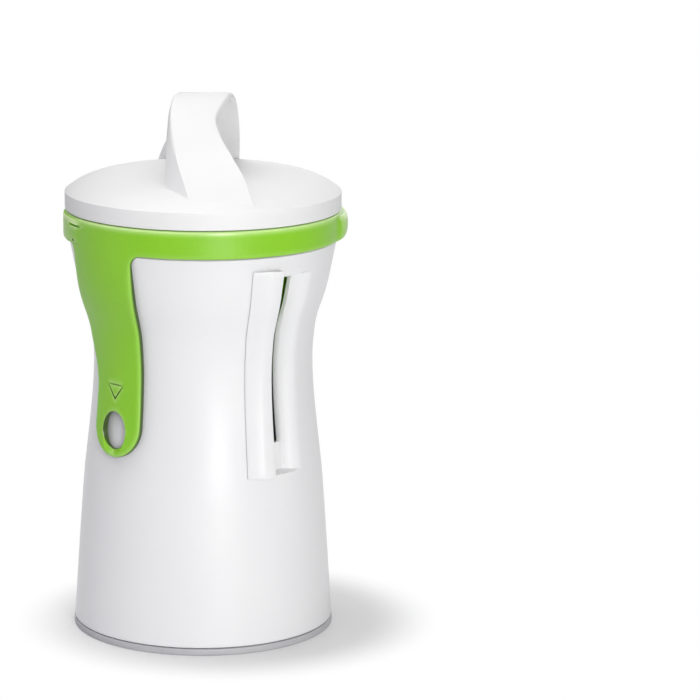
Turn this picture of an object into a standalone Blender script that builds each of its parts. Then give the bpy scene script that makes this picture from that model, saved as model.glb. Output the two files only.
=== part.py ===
"""Hand spiralizer: hourglass body, blade selector collar, hopper with three blades, lid with a swirl grip.

Sizes are in millimetres and become metres where a mesh is made. The origin is on the axis at the table.
An azimuth is measured from the front (-Y) towards the right (+X).
"""
import math

import bmesh
import bpy
from mathutils import Matrix, Vector

MM = 0.001
GAP = 0.3
RUN_GAP = 0.4
OVERSHOOT = 1.0
SEGMENTS = 48

# Body: radii and heights of the hourglass
BASE_RADIUS = 44.0
HIP_RADIUS = 40.7
HIP_HEIGHT = 48.0
WAIST_RADIUS = 36.8
WAIST_DROP = 40.0
THROAT_RADIUS = 37.7
THROAT_DROP = 29.0
FLARE_RADIUS = 41.5
FLARE_DROP = 16.0
SHOULDER_RADIUS = 44.8
SHOULDER_HEIGHT = 133.0
BODY_WALL = 2.2
NECK_STEP = 0.6
NECK_WALL = 2.0
NECK_HEIGHT = 3.0

# Foot ring
FOOT_THICKNESS = 2.2
FOOT_WIDTH = 4.5
FOOT_LIP_WIDTH = 1.8
FOOT_LIP_HEIGHT = 4.0

# Outlet: a sloped recess with a slot at its deep side, behind the guard strip
RECESS_TOP_DROP = 6.8
RECESS_HEIGHT = 67.8
RECESS_START_ANGLE = 25.0
RECESS_FLOOR_ANGLE = 38.5
RECESS_FADE_ANGLE = 55.0
RECESS_DEPTH = 4.0
RECESS_WALL = 1.4
RECESS_LIP = 1.5
RECESS_RAMP = 0.2
RAMP_ANGLE = 0.2
INNER_LEAD_ANGLE = 2.0
SHELL_STEP_ANGLE = 8
SLOT_MARGIN = 1.5
SLOT_LEAD_ANGLE = 1.0
GUARD_START_ANGLE = 21.3
GUARD_END_ANGLE = 34.0
GUARD_OVERLAP = 2.4
GUARD_LOW_RISE = 1.0
GUARD_HIGH_RISE = 3.3

# Collar
SKIRT_WALL = 1.7
RIM_WALL = 3.3
WEB_THICKNESS = 1.2
WEB_SEAT = 3.1
RIM_ROUND = 0.7
LEG_AZIMUTH = -46.5
LEG_HALF_ANGLE = 15.5
LEG_LENGTH = 69.3
LEG_RISE = 3.0
LEG_GAP = 1.0
LEG_ROOT = 1.15
LEG_FILLET = 3.4
EYELET_DROP = 60.0
EYELET_WIDTH = 10.6
EYELET_HEIGHT = 12.6
TAB_AZIMUTH = 90.0
TAB_HALF_ANGLE = 16.0
TAB_RISE = 2.1
TAB_MARGIN = 0.3
PAD_AZIMUTH = -80.0
PAD_HALF_ANGLE = 8.0
PAD_RISE = 0.5
PAD_MARGIN = 1.2
PAD_ROUND = 0.9
PAD_END_RISE = 0.05

# Hopper: a cone that hangs in the collar
FLANGE_THICKNESS = 1.5
MOUTH_WALL = 3.0
MOUTH_CHAMFER = 1.4
MOUTH_FUNNEL = 2.7
CONE_TOP_DROP = 4.0
NECK_TAPER = 0.4
NECK_TAPER_DROP = 0.5
CONE_DEPTH = 88.0
TIP_RADIUS = 11.0
TIP_LENGTH = 5.0
HOPPER_WALL = 1.9

# Blades
BLADE_AZIMUTH = 32.0
BLADE_STEP_ANGLE = 90.0
BLADE_LENGTH = 54.0
BLADE_DROP = 49.0
BLADE_WIDTH = 9.0
BLADE_THICKNESS = 0.6
BLADE_TILT_ANGLE = 25.0
BLADE_SINK = 0.6
BLADE_THROAT = 3.2
BLADE_SIDE_GAP = 1.2
BLADE_CLEARANCE = 5.0
BLADE_GRIND = 1.2
BLADE_PAD_DEPTH = 2.2
BLADE_PAD_INSET = 1.0
BLADE_PAD_MARGIN = 2.0
SCREW_INSET = 4.0
SCREW_SIDE = 2.7
SCREW_RADIUS = 0.9
SCREW_HEAD_RADIUS = 1.7
SCREW_HEAD_HEIGHT = 0.8
SCREW_LENGTH = 1.3
COMB_TOP = 2.0
COMB_ROOT = 0.4
COMB_TOOTH = 1.8
COMB_FINE_PITCH = 3.0
COMB_COARSE_PITCH = 6.0
COMB_TOOTH_WIDTH = 0.9

# Lower drum bearing
BEARING_WALL = 3.0
BEARING_HEIGHT = 4.0
BEARING_DROP = 1.0
BEARING_ARM_WIDTH = 5.0
BEARING_ARM_OVERLAP = 1.0
BEARING_ARM_AZIMUTH = 120.0
BEARING_ARMS = 3

# Lid
GUIDE_HEIGHT = 3.0
GUIDE_LIP = 2.0
GUIDE_WALL = 1.0
GUIDE_LEDGE = 1.3
LID_INSET = 0.1
LID_RIM_HEIGHT = 5.8
LID_CROWN = 6.5
LID_EXPONENT = 6
LID_WALL = 2.2
LID_SKIRT_WALL = 2.1
LID_PROFILE_SHARES = (0.98, 0.94, 0.88, 0.8, 0.68, 0.5, 0.25)
HOLLOW_KNEE_SHARE = 0.85
HOLLOW_KNEE_RISE = 0.55
PLATE_RAISE = 0.1
PLATE_THICKNESS = 1.3
BOSS_AZIMUTH = 30.0
BOSS_RADIUS = 3.6
BOSS_SINK = 4.2
BOSS_CIRCLE = 24.0
BOSS_COUNT = 3
PLATE_SCREW_RADIUS = 1.2
PLATE_SCREW_HEAD_RADIUS = 2.4
PLATE_SCREW_HEAD_HEIGHT = 1.3
PLATE_SCREW_LENGTH = 6.0

# Prongs
PRONG_COUNT = 8
PRONG_CIRCLE = 14.0
PRONG_RADIUS = 0.8
PRONG_LENGTH = 15.0
PRONG_HEAD_RADIUS = 1.7
PRONG_HEAD_HEIGHT = 0.8
SPIKE_RADIUS = 1.5
SPIKE_LENGTH = 18.0
PIN_POINT_RATIO = 3.0

# Grip: half of the arch, from its top to the front foot; the other half is the same turned by 180 degrees
GRIP_HEIGHT = 26.2
GRIP_CROWN = 0.3
GRIP_LEAN = 1.25
GRIP_STATIONS = (
    # left and right x, left and right reach forward, left and right fall from the top, thickness, inner left x
    (-8.8, 8.8, 0.0, 0.0, 0.0, 0.0, 2.6, -8.8),
    (-9.9, 8.2, 3.5, 3.0, 0.6, 0.5, 2.6, -10.0),
    (-10.7, 6.6, 7.5, 7.0, 2.7, 2.2, 2.6, -11.2),
    (-10.9, 4.2, 13.0, 13.5, 6.2, 6.2, 2.8, -11.9),
    (-10.2, 5.6, 20.5, 22.5, 12.2, 10.8, 3.6, -12.5),
    (-8.6, 9.3, 28.5, 32.0, 18.4, 16.1, 4.8, -12.7),
    (-6.4, 13.0, 36.0, 38.0, 24.4, 21.9, 6.0, -12.6),
    (-4.2, 16.0, 41.5, 40.5, 30.4, 29.6, 7.0, -12.2),
)

# Heights and radii that follow from the sizes above
shell_bottom = FOOT_THICKNESS + GAP
neck_top = SHOULDER_HEIGHT + NECK_HEIGHT
neck_radius = SHOULDER_RADIUS - NECK_STEP
collar_radius = neck_radius + RUN_GAP + SKIRT_WALL
rim_inner = collar_radius - RIM_WALL
web_bore = rim_inner - WEB_SEAT
skirt_bottom = SHOULDER_HEIGHT + GAP
web_bottom = neck_top + GAP
web_top = web_bottom + WEB_THICKNESS
flange_bottom = web_top + GAP
flange_top = flange_bottom + FLANGE_THICKNESS
guide_bottom = flange_top + GAP
guide_top = guide_bottom + GUIDE_HEIGHT
rim_top = guide_top
lid_bottom = guide_top + GAP
lid_radius = collar_radius - LID_INSET
lid_top = lid_bottom + LID_RIM_HEIGHT + LID_CROWN
guide_radius = rim_inner - RUN_GAP
guide_bore = guide_radius - GUIDE_LIP
plate_radius = guide_radius - GUIDE_WALL - GAP
plate_bottom = guide_bottom + PLATE_RAISE
plate_top = plate_bottom + PLATE_THICKNESS
skirt_radius = guide_bore - GAP
recess_top = SHOULDER_HEIGHT - RECESS_TOP_DROP
recess_bottom = recess_top - RECESS_HEIGHT
cone_top = flange_bottom - CONE_TOP_DROP
cone_bottom = flange_bottom - CONE_DEPTH
tip_bottom = cone_bottom - TIP_LENGTH
hopper_neck_radius = web_bore - GAP
cone_top_radius = hopper_neck_radius - MOUTH_WALL - MOUTH_CHAMFER
cone_angle = math.atan2(cone_top_radius - TIP_RADIUS, cone_top - cone_bottom)

BODY_STATIONS = (
    (0.0, BASE_RADIUS),
    (HIP_HEIGHT, HIP_RADIUS),
    (SHOULDER_HEIGHT - WAIST_DROP, WAIST_RADIUS),
    (SHOULDER_HEIGHT - THROAT_DROP, THROAT_RADIUS),
    (SHOULDER_HEIGHT - FLARE_DROP, FLARE_RADIUS),
    (SHOULDER_HEIGHT, SHOULDER_RADIUS),
)


def station_slopes(stations):
    """Slopes of a smooth curve through the stations that never overshoots them."""
    steps = [b[0] - a[0] for a, b in zip(stations, stations[1:])]
    rates = [(b[1] - a[1]) / step for a, b, step in zip(stations, stations[1:], steps)]
    slopes = [rates[0]]
    for left, right, step_left, step_right in zip(rates, rates[1:], steps, steps[1:]):
        if left * right <= 0.0:
            slopes.append(0.0)
            continue
        weight_left = 2.0 * step_right + step_left
        weight_right = step_right + 2.0 * step_left
        slopes.append((weight_left + weight_right) / (weight_left / left + weight_right / right))
    slopes.append(rates[-1])
    return slopes


BODY_SLOPES = station_slopes(BODY_STATIONS)


def body_radius(height):
    """Outer radius of the body at a height."""
    last = len(BODY_STATIONS) - 2
    index = 0
    while index < last and height > BODY_STATIONS[index + 1][0]:
        index += 1
    low, low_radius = BODY_STATIONS[index]
    high, high_radius = BODY_STATIONS[index + 1]
    span = high - low
    t = min(max((height - low) / span, 0.0), 1.0)
    blend = t * t * (3.0 - 2.0 * t)
    radius = low_radius + (high_radius - low_radius) * blend
    radius += span * BODY_SLOPES[index] * t * (1.0 - t) ** 2
    radius -= span * BODY_SLOPES[index + 1] * t * t * (1.0 - t)
    return radius


def cone_radius(height):
    """Inner radius of the hopper's cone at a height."""
    share = (height - cone_bottom) / (cone_top - cone_bottom)
    return TIP_RADIUS + (cone_top_radius - TIP_RADIUS) * share


def polar(azimuth, radius, height):
    """Point at an azimuth in degrees, a radius and a height."""
    angle = math.radians(azimuth)
    return Vector((radius * math.sin(angle), -radius * math.cos(angle), height))


def spread(low, high, count):
    """Evenly spaced values from low to high, both included."""
    return [low + (high - low) * index / (count - 1) for index in range(count)]


def material(name, colour, roughness, metallic=0.0):
    """Principled material with a plain colour."""
    result = bpy.data.materials.new(name)
    result.use_nodes = True
    shader = result.node_tree.nodes["Principled BSDF"]
    shader.inputs["Base Color"].default_value = (*colour, 1.0)
    shader.inputs["Roughness"].default_value = roughness
    shader.inputs["Metallic"].default_value = metallic
    result.diffuse_color = (*colour, 1.0)
    return result


FINISHES = {
    "white": ((0.86, 0.86, 0.88), 0.28, 0.0),
    "green": ((0.19, 0.47, 0.03), 0.32, 0.0),
    "grey": ((0.30, 0.31, 0.33), 0.6, 0.0),
    "steel": ((0.62, 0.63, 0.65), 0.25, 1.0),
}


def add_object(name, mesh, finish):
    """Link a mesh as an object with a material of its own."""
    item = bpy.data.objects.new(name, mesh)
    bpy.context.scene.collection.objects.link(item)
    if finish:
        mesh.materials.append(material(f"{name}_{finish}", *FINISHES[finish]))
        mesh.shade_smooth()
        mesh.set_sharp_from_angle(angle=math.radians(35.0))
    return item


def mesh_from(name, points, faces):
    """Mesh from points in millimetres, with its faces turned outwards."""
    mesh = bpy.data.meshes.new(name)
    mesh.from_pydata([tuple(Vector(point) * MM) for point in points], [], faces)
    shape = bmesh.new()
    shape.from_mesh(mesh)
    bmesh.ops.recalc_face_normals(shape, faces=shape.faces)
    shape.to_mesh(mesh)
    shape.free()
    return mesh


def turned(name, profile, finish, segments=SEGMENTS):
    """Solid turned about Z from (radius, height) points: a closed loop, or a line that starts and ends on Z."""
    points = []
    rows = []
    for radius, height in profile:
        if radius == 0.0:
            rows.append([len(points)] * segments)
            points.append(Vector((0.0, 0.0, height)))
            continue
        rows.append(range(len(points), len(points) + segments))
        points.extend(polar(360.0 * step / segments, radius, height) for step in range(segments))
    faces = []
    pairs = list(zip(rows, rows[1:]))
    if profile[0][0] > 0.0:
        pairs.append((rows[-1], rows[0]))
    for lower, upper in pairs:
        for step in range(segments):
            following = (step + 1) % segments
            ring = (lower[step], lower[following], upper[following], upper[step])
            face = list(dict.fromkeys(ring))
            if len(face) > 2:
                faces.append(face)
    return add_object(name, mesh_from(name, points, faces), finish)


def prism(name, outline, low, high, finish):
    """Solid between two heights above an outline of (x, y) points."""
    count = len(outline)
    points = [(x, y, low) for x, y in outline] + [(x, y, high) for x, y in outline]
    faces = [list(range(count)), list(range(count, 2 * count))]
    for index in range(count):
        following = (index + 1) % count
        faces.append([index, following, following + count, index + count])
    return add_object(name, mesh_from(name, points, faces), finish)


def loft(name, sections, finish):
    """Solid through a list of sections with the same number of points, capped at both ends."""
    size = len(sections[0])
    points = [point for section in sections for point in section]
    faces = [list(range(size)), list(range(len(points) - size, len(points)))]
    for row in range(len(sections) - 1):
        for index in range(size):
            following = (index + 1) % size
            base = row * size
            faces.append([base + index, base + following, base + size + following, base + size + index])
    return add_object(name, mesh_from(name, points, faces), finish)


def box(name, x_range, y_range, z_range, finish=None):
    """Solid box between the given limits."""
    (left, right), (front, rear) = x_range, y_range
    outline = [(left, front), (right, front), (right, rear), (left, rear)]
    return prism(name, outline, z_range[0], z_range[1], finish)


def helper(item, parent=None, matrix=None):
    """Hide a cutter or an added shape, and place it."""
    item.hide_render = True
    item.display_type = "WIRE"
    if parent:
        item.parent = parent
    if matrix:
        item.matrix_local = matrix
    return item


def combine(target, other, operation):
    """Add or cut another solid with an exact Boolean."""
    modifier = target.modifiers.new(other.name, "BOOLEAN")
    modifier.operation = operation
    modifier.object = other
    modifier.solver = "EXACT"


def recess_depth(azimuth, start):
    """Depth of the outlet recess at an azimuth."""
    if azimuth < start or azimuth > RECESS_FADE_ANGLE:
        return 0.0
    if azimuth <= RECESS_FLOOR_ANGLE:
        return RECESS_DEPTH
    return RECESS_DEPTH * (RECESS_FADE_ANGLE - azimuth) / (RECESS_FADE_ANGLE - RECESS_FLOOR_ANGLE)


def build_body_shell():
    """Hourglass shell with the outlet recess and its slot, open at the bottom and the neck."""
    floor_start = RECESS_START_ANGLE + RAMP_ANGLE
    inner_start = RECESS_START_ANGLE - INNER_LEAD_ANGLE
    slot_start = RECESS_START_ANGLE + SLOT_LEAD_ANGLE
    slot_middle = 0.5 * (slot_start + RECESS_FLOOR_ANGLE)
    slot_low = recess_bottom + SLOT_MARGIN
    slot_high = recess_top - SLOT_MARGIN
    special = [inner_start - RAMP_ANGLE, inner_start, RECESS_START_ANGLE, floor_start, slot_start, slot_middle]
    special += spread(RECESS_FLOOR_ANGLE, RECESS_FADE_ANGLE, 5)
    regular = [float(angle) for angle in range(0, 360, SHELL_STEP_ANGLE)
               if angle < inner_start - INNER_LEAD_ANGLE or angle > RECESS_FADE_ANGLE + INNER_LEAD_ANGLE]
    azimuths = sorted(special + regular)

    heights = [(shell_bottom, False, False)]
    heights += [(z, False, False) for z in spread(shell_bottom, recess_bottom - RECESS_LIP, 6)[1:]]
    heights += [(recess_bottom - RECESS_LIP + RECESS_RAMP, False, True), (recess_bottom, False, True)]
    heights += [(recess_bottom + RECESS_RAMP, True, True)]
    heights += [(z, True, True) for z in spread(slot_low, slot_high, 9)]
    heights += [(recess_top - RECESS_RAMP, True, True), (recess_top, False, True)]
    heights += [(recess_top + RECESS_LIP - RECESS_RAMP, False, True), (recess_top + RECESS_LIP, False, False)]
    heights += [(z, False, False) for z in spread(recess_top + RECESS_LIP, SHOULDER_HEIGHT, 4)[1:]]

    points = []
    rows = []
    for height, outer_recess, inner_recess in heights:
        row = []
        for azimuth in azimuths:
            radius = body_radius(height)
            outer = radius - (recess_depth(azimuth, floor_start) if outer_recess else 0.0)
            deep = recess_depth(azimuth, inner_start) if inner_recess else 0.0
            inner = radius - max(BODY_WALL, deep + RECESS_WALL if deep else 0.0)
            row.append((len(points), len(points) + 1))
            points.append(polar(azimuth, outer, height))
            points.append(polar(azimuth, inner, height))
        rows.append(row)
    for height in (SHOULDER_HEIGHT, neck_top):
        row = []
        for azimuth in azimuths:
            row.append((len(points), len(points) + 1))
            points.append(polar(azimuth, neck_radius, height))
            points.append(polar(azimuth, neck_radius - NECK_WALL, height))
        rows.append(row)

    count = len(azimuths)
    slot_columns = {azimuths.index(slot_start), azimuths.index(slot_middle)}
    slot_rows = {index for index, (height, outer_recess, _) in enumerate(heights)
                 if outer_recess and slot_low - 0.01 <= height < slot_high - 0.01}
    open_cells = {(row, column) for row in slot_rows for column in slot_columns}
    faces = []
    for row in range(len(rows) - 1):
        for column in range(count):
            if (row, column) in open_cells:
                continue
            following = (column + 1) % count
            corners = (rows[row][column], rows[row][following], rows[row + 1][following], rows[row + 1][column])
            faces.append([corner[0] for corner in corners])
            faces.append([corner[1] for corner in reversed(corners)])
            for near, far, cell in ((corners[0], corners[1], (row - 1, column)),
                                    (corners[1], corners[2], (row, (column + 1) % count)),
                                    (corners[2], corners[3], (row + 1, column)),
                                    (corners[3], corners[0], (row, (column - 1) % count))):
                if cell in open_cells:
                    faces.append([far[0], near[0], near[1], far[1]])
    for edge_row in (rows[0], rows[-1]):
        for column in range(count):
            following = (column + 1) % count
            near, far = edge_row[column], edge_row[following]
            faces.append([near[0], far[0], far[1], near[1]])
    return add_object("body_shell", mesh_from("body_shell", points, faces), "white")


def build_base_ring():
    """Foot ring under the shell, with a lip that holds it inside the shell."""
    inner = BASE_RADIUS - FOOT_WIDTH
    lip = body_radius(shell_bottom + FOOT_LIP_HEIGHT) - BODY_WALL - GAP
    profile = [(BASE_RADIUS, 0.0), (BASE_RADIUS, FOOT_THICKNESS), (lip, FOOT_THICKNESS),
               (lip, FOOT_THICKNESS + FOOT_LIP_HEIGHT), (lip - FOOT_LIP_WIDTH, FOOT_THICKNESS + FOOT_LIP_HEIGHT),
               (min(inner, lip - FOOT_LIP_WIDTH), 0.0)]
    return turned("base_ring", profile, "grey")


def plate_on_body(name, columns, rows, finish):
    """Solid plate around the body; rows hold (height, azimuth limits, inner radii, outer radii)."""
    sections = []
    for height, azimuths, inner, outer in rows:
        shares = spread(0.0, 1.0, columns)
        outside = []
        inside = []
        for share in shares:
            azimuth = azimuths[0] + (azimuths[1] - azimuths[0]) * share
            outside.append(polar(azimuth, outer[0] + (outer[1] - outer[0]) * share, height))
            inside.append(polar(azimuth, inner[0] + (inner[1] - inner[0]) * share, height))
        sections.append(outside + list(reversed(inside)))
    return loft(name, sections, finish)


def build_outlet_guard():
    """White strip whose right edge stands proud over the outlet slot."""
    rows = []
    for height in spread(recess_bottom, recess_top + GUARD_OVERLAP, 16):
        radius = body_radius(height)
        rows.append((height, (GUARD_START_ANGLE, GUARD_END_ANGLE), (radius + GAP, radius + GAP),
                     (radius + GUARD_LOW_RISE, radius + GUARD_HIGH_RISE)))
    return plate_on_body("outlet_guard", 5, rows, "white")


def leg_outer(height):
    """Outer radius of the collar's leg."""
    return min(body_radius(height) + LEG_RISE, collar_radius)


def leg_inner(height):
    """Inner radius of the collar's leg."""
    return min(body_radius(height) + LEG_GAP, collar_radius - LEG_ROOT)


def leg_rows(low):
    """Rows of the leg from its round lower end to the collar."""
    mean_radius = 0.5 * (leg_inner(low) + leg_outer(low))
    half_width = math.radians(LEG_HALF_ANGLE) * mean_radius
    centre = low + half_width
    rows = []
    for turn in (-82.0, -68.0, -54.0, -40.0, -26.0, -12.0):
        angle = math.radians(turn)
        rows.append((centre + half_width * math.sin(angle), LEG_HALF_ANGLE * math.cos(angle)))
    root = skirt_bottom - LEG_FILLET
    rows += [(height, LEG_HALF_ANGLE) for height in spread(centre, root, 9)]
    for turn in (30.0, 55.0, 75.0, 90.0):
        angle = math.radians(turn)
        spread_angle = math.degrees(LEG_FILLET * (1.0 - math.cos(angle)) / collar_radius)
        rows.append((root + LEG_FILLET * math.sin(angle), LEG_HALF_ANGLE + spread_angle))
    rows.append((web_bottom - GAP, LEG_HALF_ANGLE + math.degrees(LEG_FILLET / collar_radius)))
    return [(height, (LEG_AZIMUTH - half, LEG_AZIMUTH + half), (leg_inner(height),) * 2,
             (leg_outer(height),) * 2) for height, half in rows]


def build_collar():
    """Collar ring with its leg, thumb tab and side pad."""
    skirt_inner = neck_radius + RUN_GAP
    profile = [(skirt_inner, skirt_bottom), (collar_radius, skirt_bottom), (collar_radius, rim_top - RIM_ROUND),
               (collar_radius - RIM_ROUND, rim_top), (rim_inner + RIM_ROUND, rim_top),
               (rim_inner, rim_top - RIM_ROUND), (rim_inner, web_top), (web_bore, web_top),
               (web_bore, web_bottom), (skirt_inner, web_bottom)]
    collar = turned("selector_collar", profile, "green")
    leg = helper(plate_on_body("leg_solid", 9, leg_rows(SHOULDER_HEIGHT - LEG_LENGTH), None))
    combine(collar, leg, "UNION")
    overlap = 0.5 * SKIRT_WALL
    for name, azimuth, half, rise, margin in (("thumb_tab", TAB_AZIMUTH, TAB_HALF_ANGLE, TAB_RISE, TAB_MARGIN),
                                              ("side_pad", PAD_AZIMUTH, PAD_HALF_ANGLE, PAD_RISE, PAD_MARGIN)):
        sections = []
        for share in spread(-1.0, 1.0, 9):
            bulge = rise * math.sqrt(1.0 - share ** 4) + PAD_END_RISE
            outer = collar_radius + bulge
            angle = azimuth + half * share
            low = skirt_bottom + margin
            high = rim_top - RIM_ROUND - margin
            soft = min(PAD_ROUND, 0.5 * bulge)
            sections.append([polar(angle, collar_radius - overlap, low), polar(angle, outer - soft, low),
                             polar(angle, outer, low + soft), polar(angle, outer, high - soft),
                             polar(angle, outer - soft, high), polar(angle, collar_radius - overlap, high)])
        combine(collar, helper(loft(name, sections, None)), "UNION")
    height = SHOULDER_HEIGHT - EYELET_DROP
    turns = [math.radians(turn) for turn in range(0, 360, 20)]
    outline = [(0.5 * EYELET_WIDTH * math.cos(turn), 0.5 * EYELET_HEIGHT * math.sin(turn)) for turn in turns]
    reach = body_radius(height)
    bore = helper(prism("eyelet_bore", outline, reach - LEG_RISE, reach + 2.0 * LEG_RISE, None))
    bore.matrix_local = facing(LEG_AZIMUTH, height)
    combine(collar, bore, "DIFFERENCE")
    return collar


def facing(azimuth, height):
    """Frame at a height on the axis: x to the right of a viewer at the azimuth, y up, z towards the viewer."""
    outward = polar(azimuth, 1.0, 0.0)
    upward = Vector((0.0, 0.0, 1.0))
    sideways = upward.cross(outward)
    rotation = Matrix((sideways, upward, outward)).transposed().to_4x4()
    return Matrix.Translation((0.0, 0.0, height * MM)) @ rotation


def blade_frame(azimuth):
    """Frame of a blade: x across it and outwards, y up the cone, z off its outer face."""
    height = flange_bottom - BLADE_DROP
    radius = cone_radius(height) + HOPPER_WALL
    outward = polar(azimuth, 1.0, 0.0)
    across = polar(azimuth + 90.0, 1.0, 0.0)
    upward = outward * math.sin(cone_angle) + Vector((0.0, 0.0, math.cos(cone_angle)))
    normal = across.cross(upward)
    tilt = math.radians(BLADE_TILT_ANGLE)
    tilted_across = across * math.cos(tilt) + normal * math.sin(tilt)
    tilted_normal = normal * math.cos(tilt) - across * math.sin(tilt)
    rotation = Matrix((tilted_across, upward, tilted_normal)).transposed().to_4x4()
    place = polar(azimuth, radius, height) - normal * BLADE_SINK
    return Matrix.Translation(place * MM) @ rotation


def screw_places():
    """Places of a blade's two screws in the blade's frame."""
    reach = 0.5 * BLADE_LENGTH - SCREW_INSET
    return [(SCREW_SIDE, -reach), (SCREW_SIDE, reach)]


def disc_outline(x, y, radius, count=12):
    """Round outline about a point."""
    turns = [2.0 * math.pi * step / count for step in range(count)]
    return [(x + radius * math.cos(turn), y + radius * math.sin(turn)) for turn in turns]


def build_hopper(blade_azimuths):
    """Cone with a flange, blade pads and an oblique slot for each blade."""
    outer = HOPPER_WALL / math.cos(cone_angle)
    neck_drop = (hopper_neck_radius - cone_top_radius - outer) * NECK_TAPER + NECK_TAPER_DROP
    profile = [(0.0, tip_bottom), (TIP_RADIUS + outer, tip_bottom), (TIP_RADIUS + outer, cone_bottom),
               (cone_top_radius + outer, cone_top), (hopper_neck_radius, cone_top + neck_drop),
               (hopper_neck_radius, flange_bottom), (rim_inner - GAP, flange_bottom),
               (rim_inner - GAP, flange_top), (0.0, flange_top)]
    hopper = turned("hopper", profile, "green")
    half = 0.5 * BLADE_LENGTH
    for index, azimuth in enumerate(blade_azimuths):
        pad = box(f"blade_pad_{index + 1}", (-BLADE_PAD_INSET, 0.5 * BLADE_WIDTH),
                  (-half - BLADE_PAD_MARGIN, half + BLADE_PAD_MARGIN), (-BLADE_PAD_DEPTH, -GAP))
        combine(hopper, helper(pad, matrix=blade_frame(azimuth)), "UNION")
    throat = hopper_neck_radius - MOUTH_WALL
    mouth = throat + MOUTH_FUNNEL
    cavity = turned("hopper_cavity", [(0.0, tip_bottom - OVERSHOOT), (TIP_RADIUS, tip_bottom - OVERSHOOT),
                                      (TIP_RADIUS, cone_bottom), (cone_top_radius, cone_top),
                                      (throat, flange_top - MOUTH_FUNNEL), (mouth, flange_top),
                                      (mouth, flange_top + OVERSHOOT), (0.0, flange_top + OVERSHOOT)], None)
    combine(hopper, helper(cavity), "DIFFERENCE")
    edge = 0.5 * BLADE_WIDTH
    for index, azimuth in enumerate(blade_azimuths):
        frame = blade_frame(azimuth)
        slot = box(f"blade_slot_{index + 1}", (-edge - BLADE_THROAT, edge + BLADE_SIDE_GAP),
                   (-half - GAP, half + GAP), (-GAP, BLADE_CLEARANCE))
        combine(hopper, helper(slot, matrix=frame), "DIFFERENCE")
        for end, (x, y) in enumerate(screw_places()):
            hole = prism(f"screw_hole_{index + 1}_{end + 1}", disc_outline(x, y, SCREW_RADIUS + GAP),
                         -SCREW_LENGTH - 2.0 * GAP, OVERSHOOT, None)
            combine(hopper, helper(hole, matrix=frame), "DIFFERENCE")
    return hopper


def build_blade(name, azimuth):
    """Steel strip with a ground edge and two screw holes."""
    edge = 0.5 * BLADE_WIDTH
    half = 0.5 * BLADE_LENGTH
    sections = [[(-edge, y, 0.0), (edge, y, 0.0), (edge, y, BLADE_THICKNESS),
                 (-edge + BLADE_GRIND, y, BLADE_THICKNESS)] for y in (-half, half)]
    blade = loft(name, sections, "steel")
    blade.matrix_local = blade_frame(azimuth)
    for end, (x, y) in enumerate(screw_places()):
        hole = prism(f"{name}_hole_{end + 1}", disc_outline(x, y, SCREW_RADIUS + GAP), -OVERSHOOT,
                     BLADE_THICKNESS + OVERSHOOT, None)
        combine(blade, helper(hole, matrix=blade_frame(azimuth)), "DIFFERENCE")
    return blade


def build_comb(name, azimuth, pitch):
    """Toothed strip that stands in the throat in front of a blade's edge."""
    half = 0.5 * BLADE_LENGTH
    tip = COMB_ROOT - COMB_TOOTH
    count = int((BLADE_LENGTH - 2.0 * COMB_TOOTH_WIDTH) / pitch)
    first = -0.5 * pitch * (count - 1)
    outline = [(-half, COMB_TOP), (-half, COMB_ROOT)]
    for index in range(count):
        centre = first + pitch * index
        outline += [(centre - 0.5 * COMB_TOOTH_WIDTH, COMB_ROOT), (centre - 0.25 * COMB_TOOTH_WIDTH, tip),
                    (centre + 0.25 * COMB_TOOTH_WIDTH, tip), (centre + 0.5 * COMB_TOOTH_WIDTH, COMB_ROOT)]
    outline += [(half, COMB_ROOT), (half, COMB_TOP)]
    side = -0.5 * BLADE_WIDTH - GAP
    sections = [[(x, y, z) for y, z in outline] for x in (side - BLADE_THICKNESS, side)]
    comb = loft(name, sections, "steel")
    comb.matrix_local = blade_frame(azimuth)
    return comb


def build_blade_screws(name, azimuth):
    """Two flat-headed screws through a blade."""
    low = BLADE_THICKNESS + GAP
    profile = [(0.0, -SCREW_LENGTH), (SCREW_RADIUS, -SCREW_LENGTH), (SCREW_RADIUS, low), (SCREW_HEAD_RADIUS, low),
               (SCREW_HEAD_RADIUS, low + 0.5 * SCREW_HEAD_HEIGHT),
               (0.6 * SCREW_HEAD_RADIUS, low + SCREW_HEAD_HEIGHT), (0.0, low + SCREW_HEAD_HEIGHT)]
    for end, (x, y) in enumerate(screw_places()):
        screw = turned(f"{name}_{'lower' if end == 0 else 'upper'}", profile, "steel", 12)
        screw.matrix_local = blade_frame(azimuth) @ Matrix.Translation(Vector((x, y, 0.0)) * MM)


def build_drum_bearing():
    """Ring round the drum's tip, carried by arms that reach the body's wall."""
    bore = TIP_RADIUS + HOPPER_WALL / math.cos(cone_angle) + RUN_GAP
    low = tip_bottom - BEARING_DROP
    high = low + BEARING_HEIGHT
    ring_radius = bore + BEARING_WALL
    profile = [(bore, low), (ring_radius, low), (ring_radius, high), (bore, high)]
    bearing = turned("drum_bearing", profile, "white", 36)
    reach = min(body_radius(low), body_radius(high)) - BODY_WALL
    end = math.sqrt((reach - GAP) ** 2 - (0.5 * BEARING_ARM_WIDTH) ** 2)
    for index in range(BEARING_ARMS):
        arm = box(f"bearing_arm_{index + 1}", (-0.5 * BEARING_ARM_WIDTH, 0.5 * BEARING_ARM_WIDTH),
                  (-0.5 * BEARING_HEIGHT, 0.5 * BEARING_HEIGHT), (ring_radius - BEARING_ARM_OVERLAP, end))
        azimuth = BEARING_ARM_AZIMUTH + 360.0 * index / BEARING_ARMS
        helper(arm, matrix=facing(azimuth, low + 0.5 * BEARING_HEIGHT))
        combine(bearing, arm, "UNION")
    return bearing


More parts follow.
